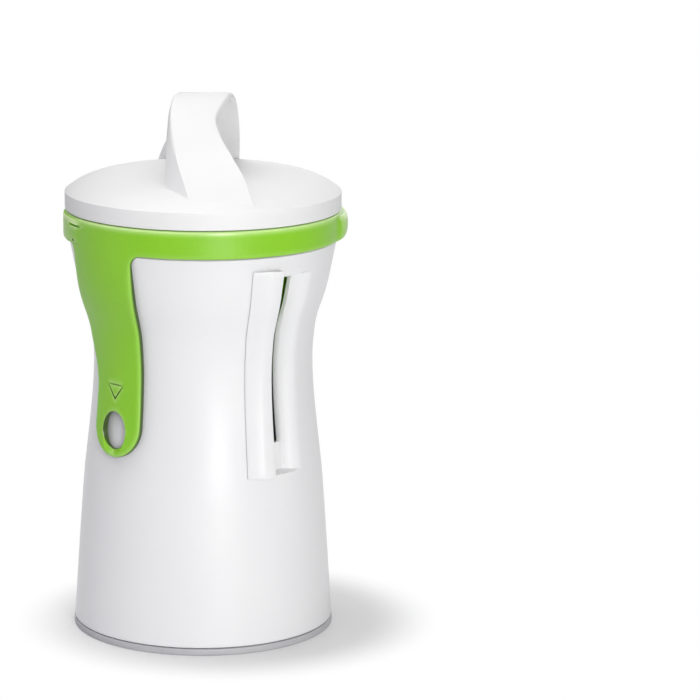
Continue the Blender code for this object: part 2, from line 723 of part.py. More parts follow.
def build_guide_ring():
    """Stepped ring between the collar's rim and the lid, held by the holder plate."""
    profile = [(guide_radius, guide_bottom), (guide_radius, guide_top), (guide_bore, guide_top),
               (guide_bore, guide_top - GUIDE_LEDGE), (guide_radius - GUIDE_WALL, guide_top - GUIDE_LEDGE),
               (guide_radius - GUIDE_WALL, guide_bottom)]
    return turned("guide_ring", profile, "white")


def dome(share):
    """Height of the lid's top at a share of its radius."""
    return lid_bottom + LID_RIM_HEIGHT + LID_CROWN * (1.0 - share ** LID_EXPONENT)


def grip_sections():
    """Closed sections of the arch from the rear foot over the top to the front foot."""
    top = lid_top + GRIP_HEIGHT
    front = []
    for left, right, left_reach, right_reach, left_fall, right_fall, thickness, inner_left in GRIP_STATIONS:
        slope = min(math.atan2(left_fall, left_reach) * GRIP_LEAN, 1.0)
        back, down = thickness * math.sin(slope), thickness * math.cos(slope)
        middle_reach, middle_fall = 0.5 * (left_reach + right_reach), 0.5 * (left_fall + right_fall)
        crown = GRIP_CROWN if middle_reach else 0.0
        front.append([Vector((left, -left_reach, top - left_fall)),
                      Vector((0.5 * (left + right), -middle_reach - crown, top - middle_fall)),
                      Vector((right, -right_reach, top - right_fall)),
                      Vector((right + crown, -right_reach + back, top - right_fall - down)),
                      Vector((0.5 * (inner_left + right), -middle_reach + back, top - middle_fall - down)),
                      Vector((inner_left, -left_reach + back, top - left_fall - down))])
    rear = []
    for section in reversed(front[1:]):
        turned_points = [Vector((-point.x, -point.y, point.z)) for point in section]
        rear.append([turned_points[2], turned_points[1], turned_points[0],
                     turned_points[5], turned_points[4], turned_points[3]])
    return rear + front


def build_lid():
    """Domed lid with an inner skirt, screw bosses and the swirl grip moulded on top."""
    skirt_low = plate_top + GAP
    skirt_inner = skirt_radius - LID_SKIRT_WALL
    profile = [(0.0, skirt_low), (skirt_radius, skirt_low), (skirt_radius, lid_bottom),
               (lid_radius, lid_bottom), (lid_radius, lid_bottom + LID_RIM_HEIGHT)]
    profile += [(lid_radius * share, dome(share)) for share in LID_PROFILE_SHARES]
    profile += [(0.0, lid_top)]
    lid = turned("lid", profile, "white")
    ceiling = lid_bottom + LID_RIM_HEIGHT
    hollow = turned("lid_hollow", [(0.0, skirt_low - OVERSHOOT), (skirt_inner, skirt_low - OVERSHOOT),
                                   (skirt_inner, ceiling),
                                   (HOLLOW_KNEE_SHARE * skirt_inner, ceiling + HOLLOW_KNEE_RISE * LID_CROWN),
                                   (0.0, lid_top - LID_WALL)], None)
    combine(lid, helper(hollow), "DIFFERENCE")
    combine(lid, helper(loft("grip_solid", grip_sections(), None)), "UNION")
    for index, (x, y) in enumerate(boss_places()):
        outline = disc_outline(x, y, BOSS_RADIUS, 20)
        boss = prism(f"screw_boss_{index + 1}", outline, skirt_low, ceiling + BOSS_SINK, None)
        combine(lid, helper(boss), "UNION")
        hole = prism(f"boss_hole_{index + 1}", disc_outline(x, y, PLATE_SCREW_RADIUS + GAP),
                     skirt_low - OVERSHOOT, plate_bottom + PLATE_SCREW_LENGTH + 2.0 * GAP, None)
        combine(lid, helper(hole), "DIFFERENCE")
    return lid


def boss_places():
    """Centres of the screw bosses under the lid."""
    azimuths = [BOSS_AZIMUTH + 360.0 * index / BOSS_COUNT for index in range(BOSS_COUNT)]
    places = [polar(azimuth, BOSS_CIRCLE, 0.0) for azimuth in azimuths]
    return [(place.x, place.y) for place in places]


def prong_places():
    """Centres of the prongs."""
    places = [polar(360.0 * index / PRONG_COUNT, PRONG_CIRCLE, 0.0) for index in range(PRONG_COUNT)]
    return [(place.x, place.y) for place in places]


def build_holder_plate():
    """Disc under the lid that traps the guide ring and carries the prongs."""
    outline = disc_outline(0.0, 0.0, plate_radius, SEGMENTS)
    plate = prism("holder_plate", outline, plate_bottom, plate_top, "white")
    holes = [(x, y, PLATE_SCREW_RADIUS) for x, y in boss_places()]
    holes += [(x, y, PRONG_RADIUS) for x, y in prong_places()]
    holes += [(0.0, 0.0, SPIKE_RADIUS)]
    for index, (x, y, radius) in enumerate(holes):
        hole = prism(f"plate_hole_{index + 1}", disc_outline(x, y, radius + GAP),
                     plate_bottom - OVERSHOOT, plate_top + OVERSHOOT, None)
        combine(plate, helper(hole), "DIFFERENCE")
    return plate


def build_plate_screws():
    """Screws that hold the plate to the lid's bosses."""
    head_top = plate_bottom - GAP
    head_bottom = head_top - PLATE_SCREW_HEAD_HEIGHT
    profile = [(0.0, head_bottom), (0.7 * PLATE_SCREW_HEAD_RADIUS, head_bottom),
               (PLATE_SCREW_HEAD_RADIUS, head_top - 0.4 * PLATE_SCREW_HEAD_HEIGHT),
               (PLATE_SCREW_HEAD_RADIUS, head_top), (PLATE_SCREW_RADIUS, head_top),
               (PLATE_SCREW_RADIUS, plate_bottom + PLATE_SCREW_LENGTH),
               (0.0, plate_bottom + PLATE_SCREW_LENGTH)]
    for index, (x, y) in enumerate(boss_places()):
        screw = turned(f"plate_screw_{index + 1}", profile, "steel", 16)
        screw.location = Vector((x, y, 0.0)) * MM


def pin_profile(radius, head_radius, length):
    """Outline of a headed pin that hangs through the plate, pointed at its lower end."""
    head_low = plate_top + GAP
    low = plate_bottom - length
    return [(0.0, low), (radius, low + PIN_POINT_RATIO * radius), (radius, head_low), (head_radius, head_low),
            (head_radius, head_low + PRONG_HEAD_HEIGHT), (0.0, head_low + PRONG_HEAD_HEIGHT)]


def build_prongs():
    """Ring of prongs and a longer spike in the middle."""
    profile = pin_profile(PRONG_RADIUS, PRONG_HEAD_RADIUS, PRONG_LENGTH)
    for index, (x, y) in enumerate(prong_places()):
        prong = turned(f"prong_{index + 1}", profile, "steel", 12)
        prong.location = Vector((x, y, 0.0)) * MM
    profile = pin_profile(SPIKE_RADIUS, PRONG_HEAD_RADIUS + SPIKE_RADIUS, SPIKE_LENGTH)
    turned("centre_spike", profile, "steel", 16)


def main():
    """Clear the scene and build every piece."""
    for item in list(bpy.data.objects):
        bpy.data.objects.remove(item)
    build_body_shell()
    build_outlet_guard()
    build_base_ring()
    build_drum_bearing()
    build_collar()
    blades = (("ribbon", 0.0), ("julienne_fine", COMB_FINE_PITCH), ("julienne_coarse", COMB_COARSE_PITCH))
    azimuths = [BLADE_AZIMUTH + BLADE_STEP_ANGLE * index for index in range(len(blades))]
    build_hopper(azimuths)
    for (kind, pitch), azimuth in zip(blades, azimuths):
        build_blade(f"blade_{kind}", azimuth)
        build_blade_screws(f"screw_{kind}", azimuth)
        if pitch:
            build_comb(f"comb_{kind}", azimuth, pitch)
    build_guide_ring()
    build_lid()
    build_holder_plate()
    build_plate_screws()
    build_prongs()


main()
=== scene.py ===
"""Looks of a hand spiralizer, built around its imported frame.

Lengths are metres in the frame's axes. An azimuth is in degrees from the front (-Y) towards the
right (+X).
"""

import logging
import math
from dataclasses import dataclass, field
from enum import Enum
from typing import Callable, Iterable, Sequence

import bmesh
import bpy
from mathutils import Matrix, Vector


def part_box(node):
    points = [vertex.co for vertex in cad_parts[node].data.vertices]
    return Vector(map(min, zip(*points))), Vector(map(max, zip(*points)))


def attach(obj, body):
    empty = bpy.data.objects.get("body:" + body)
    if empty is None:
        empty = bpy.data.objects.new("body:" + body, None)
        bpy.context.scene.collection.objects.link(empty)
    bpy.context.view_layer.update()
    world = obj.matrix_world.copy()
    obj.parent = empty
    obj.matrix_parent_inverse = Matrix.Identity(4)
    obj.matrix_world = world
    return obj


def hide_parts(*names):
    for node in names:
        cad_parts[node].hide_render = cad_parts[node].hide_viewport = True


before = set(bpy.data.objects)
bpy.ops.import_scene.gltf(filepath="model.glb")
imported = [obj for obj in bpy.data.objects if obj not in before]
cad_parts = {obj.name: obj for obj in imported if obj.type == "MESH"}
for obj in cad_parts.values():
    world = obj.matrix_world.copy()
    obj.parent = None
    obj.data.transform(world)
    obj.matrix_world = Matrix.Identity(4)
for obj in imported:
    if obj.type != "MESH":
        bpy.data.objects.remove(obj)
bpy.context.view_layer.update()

LOG = logging.getLogger("spiralizer")
MM = 0.001
GAP = 0.3 * MM
TINY = 1e-6

Range = tuple[float, float]
Triple = tuple[float, float, float]
Colour = Triple
Profile = Sequence[Range]
Socket = bpy.types.NodeSocket


class Body(Enum):
    """Rigid bodies of the frame."""

    HOUSING = "body"
    SELECTOR = "selector"
    CARRIER = "lid_carrier"
    LID = "lid"


class Slot(Enum):
    """Material slots of the record."""

    WHITE = "white_plastic"
    GREEN = "green_plastic"
    RUBBER = "foot_rubber"
    BLADE = "blade_steel"
    SCREW = "screw_steel"
    PRONG = "prong_steel"


class BladeKind(Enum):
    """Blades of the drum, by what they cut, with the pitch of the comb's teeth (0 for none)."""

    RIBBON = ("ribbon", 0.0)
    FINE = ("julienne_fine", 3.0 * MM)
    COARSE = ("julienne_coarse", 6.0 * MM)


class TreeWriter:
    """Adds nodes to a shader or geometry tree."""

    def __init__(self, tree: bpy.types.NodeTree) -> None:
        """Keep the tree that is written to."""
        self.tree = tree

    def feed(self, node: bpy.types.Node, inputs: dict[int | str, object]) -> None:
        """Link sockets to a node's inputs, or set the inputs to values.

        Args:
            node: the node.
            inputs: values or output sockets, by the input's index or name.
        """
        for key, value in inputs.items():
            if isinstance(value, Socket):
                self.tree.links.new(value, node.inputs[key])
            else:
                node.inputs[key].default_value = value

    def add(self, kind: str, inputs: dict[int | str, object] | None = None,
            **options: object) -> bpy.types.Node:
        """Add one node.

        Args:
            kind: Blender's type name of the node.
            inputs: values or output sockets, by the input's index or name.
            options: the node's own properties.

        Returns:
            The new node.
        """
        node = self.tree.nodes.new(kind)
        for name, value in options.items():
            setattr(node, name, value)
        self.feed(node, inputs or {})
        return node

    def math(self, operation: str, *values: object) -> Socket:
        """Combine numbers and return the result's socket."""
        return self.add("ShaderNodeMath", dict(enumerate(values)), operation=operation).outputs[0]

    def vector(self, operation: str, *values: object) -> bpy.types.NodeOutputs:
        """Combine vectors and return the node's outputs."""
        inputs = dict(enumerate(values))
        return self.add("ShaderNodeVectorMath", inputs, operation=operation).outputs

    def ranged(self, value: Socket, source: Range, target: tuple[object, object] = (0.0, 1.0),
               curve: str = "LINEAR") -> Socket:
        """Map a value from one range to another, held at both ends.

        Args:
            value: the value.
            source: range of the value.
            target: range of the result, as numbers or sockets.
            curve: Blender's name of the interpolation.

        Returns:
            The result's socket.
        """
        inputs = dict(enumerate((value, *source, *target)))
        return self.add("ShaderNodeMapRange", inputs, interpolation_type=curve).outputs[0]

    def stretched(self, place: Socket, scale: Triple) -> Socket:
        """Scale coordinates by axis."""
        return self.add("ShaderNodeMapping", {"Vector": place, "Scale": scale}).outputs[0]

    def noise(self, place: Socket, scale: float, detail: float) -> Socket:
        """Add a noise texture and return its value."""
        inputs = {"Vector": place, "Scale": scale, "Detail": detail}
        return self.add("ShaderNodeTexNoise", inputs).outputs[0]

    def blend(self, share: Socket, first: object, second: object) -> Socket:
        """Mix two colours, each given as numbers or as a socket."""
        ends = [end if isinstance(end, Socket) else (*end, 1.0) for end in (first, second)]
        inputs = {0: share, 6: ends[0], 7: ends[1]}
        return self.add("ShaderNodeMix", inputs, data_type="RGBA").outputs[2]

    def bump(self, height: Socket, strength: float, distance: float, **base: Socket) -> Socket:
        """Turn a height into a normal, over another one where it is given as Normal."""
        inputs = {"Strength": strength, "Distance": distance, "Height": height, **base}
        return self.add("ShaderNodeBump", inputs).outputs[0]


class Finish:
    """Base of every finish: a Principled material on Object coordinates."""

    name: str
    slot: Slot

    def paint(self, writer: TreeWriter, place: Socket) -> dict[str, object]:
        """Add the finish's own nodes.

        Args:
            writer: adds the nodes.
            place: position on the piece.

        Returns:
            Values or sockets for the Principled node, by the input's name.
        """
        raise NotImplementedError

    def get(self) -> bpy.types.Material:
        """Return the material, built once."""
        material = bpy.data.materials.get(self.name)
        if material is None:
            material = bpy.data.materials.new(self.name)
            material.use_nodes = True
            writer = TreeWriter(material.node_tree)
            shader = material.node_tree.nodes["Principled BSDF"]
            place = writer.add("ShaderNodeTexCoord").outputs["Object"]
            writer.feed(shader, self.paint(writer, place))
        return material


@dataclass(frozen=True)
class MouldedPlastic(Finish):
    """Moulded plastic: soft mottling, fine grain, faint scratches, a painted highlight on sharp
    edges and, where set, painted shade in gaps.
    """

    name: str
    slot: Slot
    colour: Colour
    shade: Colour
    # Paler colour of the painted highlight on sharp edges
    edge: Colour
    roughness: float
    uneven: float = 0.03
    grain: float = 0.048
    coat: float = 0.25
    coat_roughness: float = 0.12
    glow: float = 0.0
    glow_radius: Colour = (1.0, 1.0, 1.0)
    glow_depth: float = 1.5 * MM
    index: float = 1.5
    # Tones: density of the clouds, of the lines along the flow and of the grain
    cloud_scale: float = 38.0
    flow_scale: Triple = (60.0, 60.0, 9.0)
    grain_scale: float = 1700.0
    tone_range: Range = (0.36, 0.66)
    # Painted highlight on sharp edges: a paler tint that grows over a range of heights; by default
    # the whole piece has it
    edge_highlight_share: float = 0.6
    least_edge_highlight: float = 0.2
    highlight_heights: Range = (-2.0, -1.0)
    rim_range: Range = (0.503, 0.55)
    # Scratches dull the surface
    scratch_scale: Triple = (1100.0, 1100.0, 60.0)
    scratch_range: Range = (0.66, 0.78)
    scratch_dulling: float = 0.08
    # Painted shade in gaps and on faces that turn sideways, where shadow falls; it fades out over a
    # range of heights
    painted_shade: float = 0.0
    painted_shade_share: float = 0.05
    shade_fade_heights: Range = (136.0 * MM, 139.0 * MM)
    gap_reach: float = 6.0 * MM
    gap_range: Range = (0.62, 0.90)
    side_range: Range = (0.35, 0.75)

    def paint_shade(self, writer: TreeWriter, tone: Socket, place: Socket, height: Socket) -> Socket:
        """Paint shade into the narrow gaps and onto the faces that turn sideways, where shadow
        falls.

        Args:
            writer: adds the nodes.
            tone: the colour before the painted shade.
            place: position on the piece.
            height: height on the piece.

        Returns:
            The soiled colour.
        """
        gaps = writer.add("ShaderNodeAmbientOcclusion", {"Distance": self.gap_reach}, samples=8)
        gap_shade = writer.ranged(gaps.outputs["AO"], self.gap_range, (self.painted_shade, 0.0))
        level = writer.vector("MULTIPLY", place, (1.0, 1.0, 0.0))[0]
        outward = writer.vector("NORMALIZE", level)[0]
        normal = writer.add("ShaderNodeTexCoord").outputs["Normal"]
        turned_out = writer.vector("DOT_PRODUCT", outward, normal)["Value"]
        side = writer.ranged(turned_out, self.side_range, (self.painted_shade, 0.0))
        reach = writer.ranged(height, self.shade_fade_heights, (1.0, 0.0))
        share = writer.math("MULTIPLY", writer.math("MAXIMUM", gap_shade, side), reach)
        return writer.blend(share, tone, tuple(self.painted_shade_share * part for part in self.colour))

    def paint(self, writer: TreeWriter, place: Socket) -> dict[str, object]:
        """Add the plastic's nodes and return the shader's inputs."""
        clouds = writer.noise(place, self.cloud_scale, 3.0)
        flow = writer.noise(writer.stretched(place, self.flow_scale), 1.0, 2.0)
        grain = writer.noise(place, self.grain_scale, 2.0)
        speckled = writer.math("MULTIPLY_ADD", grain, 0.5, writer.math("MULTIPLY", clouds, flow))
        tone = writer.blend(writer.ranged(speckled, self.tone_range), self.shade, self.colour)
        height = writer.add("ShaderNodeSeparateXYZ", {0: place}).outputs["Z"]
        # Painted highlight: edges found by pointiness get the paler edge colour, most over the
        # given heights
        highlight_share = writer.ranged(height, self.highlight_heights, (self.least_edge_highlight * self.edge_highlight_share, self.edge_highlight_share))
        pointed = writer.add("ShaderNodeNewGeometry").outputs["Pointiness"]
        tone = writer.blend(writer.ranged(pointed, self.rim_range, (0.0, highlight_share)), tone, self.edge)
        # Painted shade in gaps and on sideways faces
        if self.painted_shade:
            tone = self.paint_shade(writer, tone, place, height)

        scratches = writer.noise(writer.stretched(place, self.scratch_scale), 1.0, 1.0)
        marks = writer.ranged(scratches, self.scratch_range)
        uneven = writer.ranged(clouds, (0.3, 0.7),
                               (self.roughness - self.uneven, self.roughness + self.uneven))
        sink = writer.bump(flow, 0.03, 3.0 * MM)
        return {"Base Color": tone,
                "Roughness": writer.math("MULTIPLY_ADD", marks, self.scratch_dulling, uneven),
                "Normal": writer.bump(grain, self.grain, 0.2 * MM, Normal=sink),
                "IOR": self.index, "Coat Weight": self.coat, "Coat Roughness": self.coat_roughness,
                "Subsurface Weight": self.glow, "Subsurface Radius": self.glow_radius,
                "Subsurface Scale": self.glow_depth}


@dataclass(frozen=True)
class Steel(Finish):
    """Steel with ground lines along one direction."""

    name: str
    slot: Slot
    colour: Colour = (0.60, 0.61, 0.63)
    dark: Colour = (0.42, 0.43, 0.45)
    roughness: float = 0.24
    smoother: float = 0.06
    rougher: float = 0.10
    line_scale: Triple = (2400.0, 50.0, 2400.0)
    stain_scale: float = 140.0
    tone_range: Range = (0.12, 0.36)

    def paint(self, writer: TreeWriter, place: Socket) -> dict[str, object]:
        """Add the steel's nodes and return the shader's inputs."""
        lines = writer.noise(writer.stretched(place, self.line_scale), 1.0, 3.0)
        stain = writer.noise(place, self.stain_scale, 2.0)
        share = writer.ranged(writer.math("MULTIPLY", lines, stain), self.tone_range)
        limits = (self.roughness - self.smoother, self.roughness + self.rougher)
        return {"Base Color": writer.blend(share, self.dark, self.colour),
                "Roughness": writer.ranged(lines, (0.3, 0.7), limits),
                "Normal": writer.bump(lines, 0.12, 0.1 * MM), "Metallic": 1.0}


@dataclass(frozen=True)
class FootRubber(Finish):
    """Grey soft plastic of the foot, with a fine spark-eroded grain."""

    name: str
    slot: Slot
    colour: Colour = (0.49, 0.49, 0.505)
    shade: Colour = (0.41, 0.41, 0.43)
    roughness: Range = (0.42, 0.58)
    grain_scale: float = 1500.0
    dust_scale: float = 60.0

    def paint(self, writer: TreeWriter, place: Socket) -> dict[str, object]:
        """Add the foot's nodes and return the shader's inputs."""
        grain = {"Vector": place, "Scale": self.grain_scale}
        cells = writer.add("ShaderNodeTexVoronoi", grain).outputs[0]
        dust = writer.noise(place, self.dust_scale, 4.0)
        return {"Base Color": writer.blend(dust, self.shade, self.colour),
                "Roughness": writer.ranged(dust, (0.3, 0.7), self.roughness),
                "Normal": writer.bump(cells, 0.25, 0.2 * MM)}


# The third colour of each plastic is the paler colour of its painted edge highlight
BODY_WHITE = MouldedPlastic("housing_white", Slot.WHITE, (0.77, 0.77, 0.78), (0.755, 0.755, 0.77),
                            (0.80, 0.80, 0.80), 0.32, glow=0.08)
LID_WHITE = MouldedPlastic("lid_white", Slot.WHITE, (0.76, 0.76, 0.76), (0.755, 0.755, 0.76),
                           (0.79, 0.79, 0.79), 0.56, coat=0.0, glow=0.10)
# The collar gets painted shade in its gaps and on sideways faces, and a painted edge highlight that
# is strongest near the rim
LIME = MouldedPlastic("collar_lime", Slot.GREEN, (0.235, 0.560, 0.005), (0.210, 0.520, 0.004),
                      (0.78, 0.98, 0.48), 0.33, coat=0.2, edge_highlight_share=1.0, painted_shade=0.9,
                      highlight_heights=(134.0 * MM, 141.0 * MM), glow=0.06, glow_radius=(0.6, 1.0, 0.3))
DRUM_GREEN = MouldedPlastic("drum_green", Slot.GREEN, (0.255, 0.580, 0.010), (0.225, 0.530, 0.008),
                            (0.42, 0.74, 0.12), 0.36, coat=0.1)
FOOT = FootRubber("foot_grey", Slot.RUBBER)
BLADE_STEEL = Steel("blade_ground_steel", Slot.BLADE, roughness=0.2,
                    line_scale=(2400.0, 2400.0, 60.0))
SCREW_STEEL = Steel("screw_turned_steel", Slot.SCREW, line_scale=(900.0, 900.0, 900.0))
PRONG_STEEL = Steel("prong_drawn_steel", Slot.PRONG, roughness=0.2,
                    line_scale=(2400.0, 2400.0, 80.0))


def polar(azimuth: float, radius: float, height: float) -> Vector:
    """Point at an azimuth in degrees, a radius and a height."""
    angle = math.radians(azimuth)
    return Vector((radius * math.sin(angle), -radius * math.cos(angle), height))


def spread(low: float, high: float, count: int) -> list[float]:
    """Evenly spaced values from low to high, both included."""
    return [low + (high - low) * index / (count - 1) for index in range(count)]


def smooth(value: float, low: float, high: float) -> float:
    """Share from 0 at low to 1 at high, level at both ends."""
    share = min(max((value - low) / (high - low), 0.0), 1.0)
    return share * share * (3.0 - 2.0 * share)


def soft_min(first: float, second: float, width: float) -> float:
    """Smaller of two numbers, rounded where they cross."""
    share = min(max(0.5 + 0.5 * (second - first) / width, 0.0), 1.0)
    return second * (1.0 - share) + first * share - width * share * (1.0 - share)


PLATE_SCREWS = [polar(azimuth, 24.0 * MM, 0.0) for azimuth in (30.0, 150.0, 270.0)]
PLATE_SCREW_RADIUS = 1.2 * MM
PRONG_RADIUS = 0.8 * MM
SPIKE_RADIUS = 1.5 * MM


def facing(azimuth: float, height: float) -> Matrix:
    """Frame on the axis at a height, for a viewer at the azimuth: x right, y up, z towards them."""
    outward = polar(azimuth, 1.0, 0.0)
    upward = Vector((0.0, 0.0, 1.0))
    rotation = Matrix((upward.cross(outward), upward, outward)).transposed().to_4x4()
    return Matrix.Translation((0.0, 0.0, height)) @ rotation


class Shape:
    """Collects the points and faces of one mesh."""

    def __init__(self, name: str) -> None:
        """Start an empty mesh."""
        self.name = name
        self.points: list[Vector] = []
        self.faces: list[list[int]] = []

    def row(self, places: Iterable[Vector]) -> list[int]:
        """Add points and return their numbers."""
        start = len(self.points)
        self.points.extend(places)
        return list(range(start, len(self.points)))

    def face(self, *corners: int) -> None:
        """Add a face, leaving out repeated corners."""
        kept = list(dict.fromkeys(corners))
        if len(kept) > 2:
            self.faces.append(kept)

    def strip(self, lower: Sequence[int], upper: Sequence[int], closed: bool = False) -> None:
        """Join two rows of points with faces."""
        count = len(lower)
        for index in range(count if closed else count - 1):
            following = (index + 1) % count
            self.face(lower[index], lower[following], upper[following], upper[index])

    def piece(self, matrix: Matrix | None = None) -> bpy.types.Object:
        """Make the object, with its faces turned outwards.

        Args:
            matrix: place of the shape, which goes into its mesh.

        Returns:
            The new object, at the origin.
        """
        mesh = bpy.data.meshes.new(self.name)
        mesh.from_pydata([tuple(point) for point in self.points], [], self.faces)
        if matrix:
            mesh.transform(matrix)
        work = bmesh.new()
        work.from_mesh(mesh)
        bmesh.ops.recalc_face_normals(work, faces=work.faces)
        work.to_mesh(mesh)
        work.free()
        item = bpy.data.objects.new(self.name, mesh)
        bpy.context.scene.collection.objects.link(item)
        return item


def evaluated_mesh(item: bpy.types.Object) -> bpy.types.Mesh:
    """Mesh of an object with its modifiers applied."""
    graph = bpy.context.evaluated_depsgraph_get()
    return bpy.data.meshes.new_from_object(item.evaluated_get(graph))


def settle(item: bpy.types.Object) -> bpy.types.Object:
    """Apply an object's modifiers to its mesh."""
    item.data = evaluated_mesh(item)
    item.modifiers.clear()
    return item


def combine(target: bpy.types.Object, other: bpy.types.Object, operation: str) -> bpy.types.Object:
    """Join or cut a piece with another one, which is then removed.

    Args:
        target: piece that stays.
        other: piece that is added or cut away.
        operation: UNION or DIFFERENCE.

    Returns:
        The target.
    """
    modifier = target.modifiers.new("combine", "BOOLEAN")
    modifier.operation = operation
    modifier.object = other
    modifier.solver = "EXACT"
    settle(target)
    bpy.data.objects.remove(other)
    return target


def round_edges(item: bpy.types.Object, width: float, segments: int = 3,
                angle: float = 35.0) -> bpy.types.Object:
    """Round a piece's edges that are sharper than an angle in degrees."""
    modifier = item.modifiers.new("edges", "BEVEL")
    modifier.width = width
    modifier.segments = segments
    modifier.limit_method = "ANGLE"
    modifier.angle_limit = math.radians(angle)
    return settle(item)


def dress(item: bpy.types.Object, finish: Finish, body: Body, nodes: Sequence[str],
          sharp: float = 38.0) -> bpy.types.Object:
    """Give a piece its finish and its place in the frame.

    Args:
        item: the piece.
        finish: its finish.
        body: the rigid body that it moves with.
        nodes: CAD nodes that it stands for.
        sharp: edges above this angle in degrees stay crisp.

    Returns:
        The piece.
    """
    item.data.materials.clear()
    item.data.materials.append(finish.get())
    item.data.shade_smooth()
    item.data.set_sharp_from_angle(angle=math.radians(sharp))
    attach(item, body.value)
    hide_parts(*nodes)
    LOG.info("%s: %d faces", item.name, len(item.data.polygons))
    return item


def turned(name: str, profile: Profile, segments: int = 144) -> bpy.types.Object:
    """Solid turned about Z.

    Args:
        name: name of the object.
        profile: (radius, height) points, a closed loop or a line that starts and ends on the axis.
        segments: faces round the axis.

    Returns:
        The solid.
    """
    shape = Shape(name)
    rows = []
    for radius, height in profile:
        count = segments if radius > 0.0 else 1
        row = shape.row(polar(360.0 * step / count, radius, height) for step in range(count))
        rows.append(row if radius > 0.0 else row * segments)
    for lower, upper in zip(rows, rows[1:]):
        shape.strip(lower, upper, closed=True)
    if profile[0][0] > 0.0:
        shape.strip(rows[-1], rows[0], closed=True)
    return shape.piece()


def loft(name: str, sections: Sequence[Sequence[Vector]],
         matrix: Matrix | None = None) -> bpy.types.Object:
    """Solid through sections with the same number of points, capped at both ends."""
    shape = Shape(name)
    rows = [shape.row(section) for section in sections]
    for lower, upper in zip(rows, rows[1:]):
        shape.strip(lower, upper, closed=True)
    shape.face(*rows[0])
    shape.face(*rows[-1])
    return shape.piece(matrix)


def prism(name: str, outline: Profile, low: float, high: float,
          matrix: Matrix | None = None) -> bpy.types.Object:
    """Solid between two heights over an outline of (x, y) points."""
    sections = [[Vector((x, y, height)) for x, y in outline] for height in (low, high)]
    return loft(name, sections, matrix)


def block(name: str, x: Range, y: Range, z: Range,
          matrix: Matrix | None = None) -> bpy.types.Object:
    """Box between the given limits."""
    return prism(name, [(x[0], y[0]), (x[1], y[0]), (x[1], y[1]), (x[0], y[1])], *z, matrix)


def disc(x: float, y: float, radius: float, count: int = 32) -> list[Range]:
    """Round outline about a point."""
    angles = [2.0 * math.pi * step / count for step in range(count)]
    return [(x + radius * math.cos(angle), y + radius * math.sin(angle)) for angle in angles]


@dataclass(frozen=True)
class Extent:
    """Box of a CAD node, which the pieces around it take their places from."""

    low: Vector
    high: Vector

    @classmethod
    def of(cls, node: str) -> "Extent":
        """Read a node's box from the frame."""
        low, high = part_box(node)
        return cls(low, high)

    @property
    def radius(self) -> float:
        """Radius of a round node, from its depth."""
        return 0.5 * (self.high.y - self.low.y)


@dataclass
class Hourglass:
    """Outline of the housing: a smooth curve through its stations that never overshoots them."""

    stations: tuple[Range, ...] = (
        (0.0, 44.0 * MM), (48.0 * MM, 40.7 * MM), (93.0 * MM, 36.8 * MM),
        (104.0 * MM, 37.7 * MM), (117.0 * MM, 41.5 * MM), (133.0 * MM, 44.8 * MM))
    slopes: list[float] = field(init=False)

    def __post_init__(self) -> None:
        """Work out the slope at each station."""
        pairs = list(zip(self.stations, self.stations[1:]))
        steps = [b[0] - a[0] for a, b in pairs]
        rates = [(b[1] - a[1]) / step for (a, b), step in zip(pairs, steps)]
        self.slopes = [rates[0]]
        for left, right, step_left, step_right in zip(rates, rates[1:], steps, steps[1:]):
            near, far = 2.0 * step_right + step_left, step_right + 2.0 * step_left
            same_way = left * right > 0.0
            self.slopes.append((near + far) / (near / left + far / right) if same_way else 0.0)
        self.slopes.append(rates[-1])

    @property
    def shoulder(self) -> float:
        """Height of the shoulder that the collar stands on."""
        return self.stations[-1][0]

    def radius(self, height: float) -> float:
        """Outer radius at a height."""
        index = 0
        while index < len(self.stations) - 2 and height > self.stations[index + 1][0]:
            index += 1
        (low, low_radius), (high, high_radius) = self.stations[index], self.stations[index + 1]
        span = high - low
        t = min(max((height - low) / span, 0.0), 1.0)
        radius = low_radius + (high_radius - low_radius) * t * t * (3.0 - 2.0 * t)
        bend = self.slopes[index] * t * (1.0 - t) ** 2 - self.slopes[index + 1] * t * t * (1.0 - t)
        return radius + span * bend


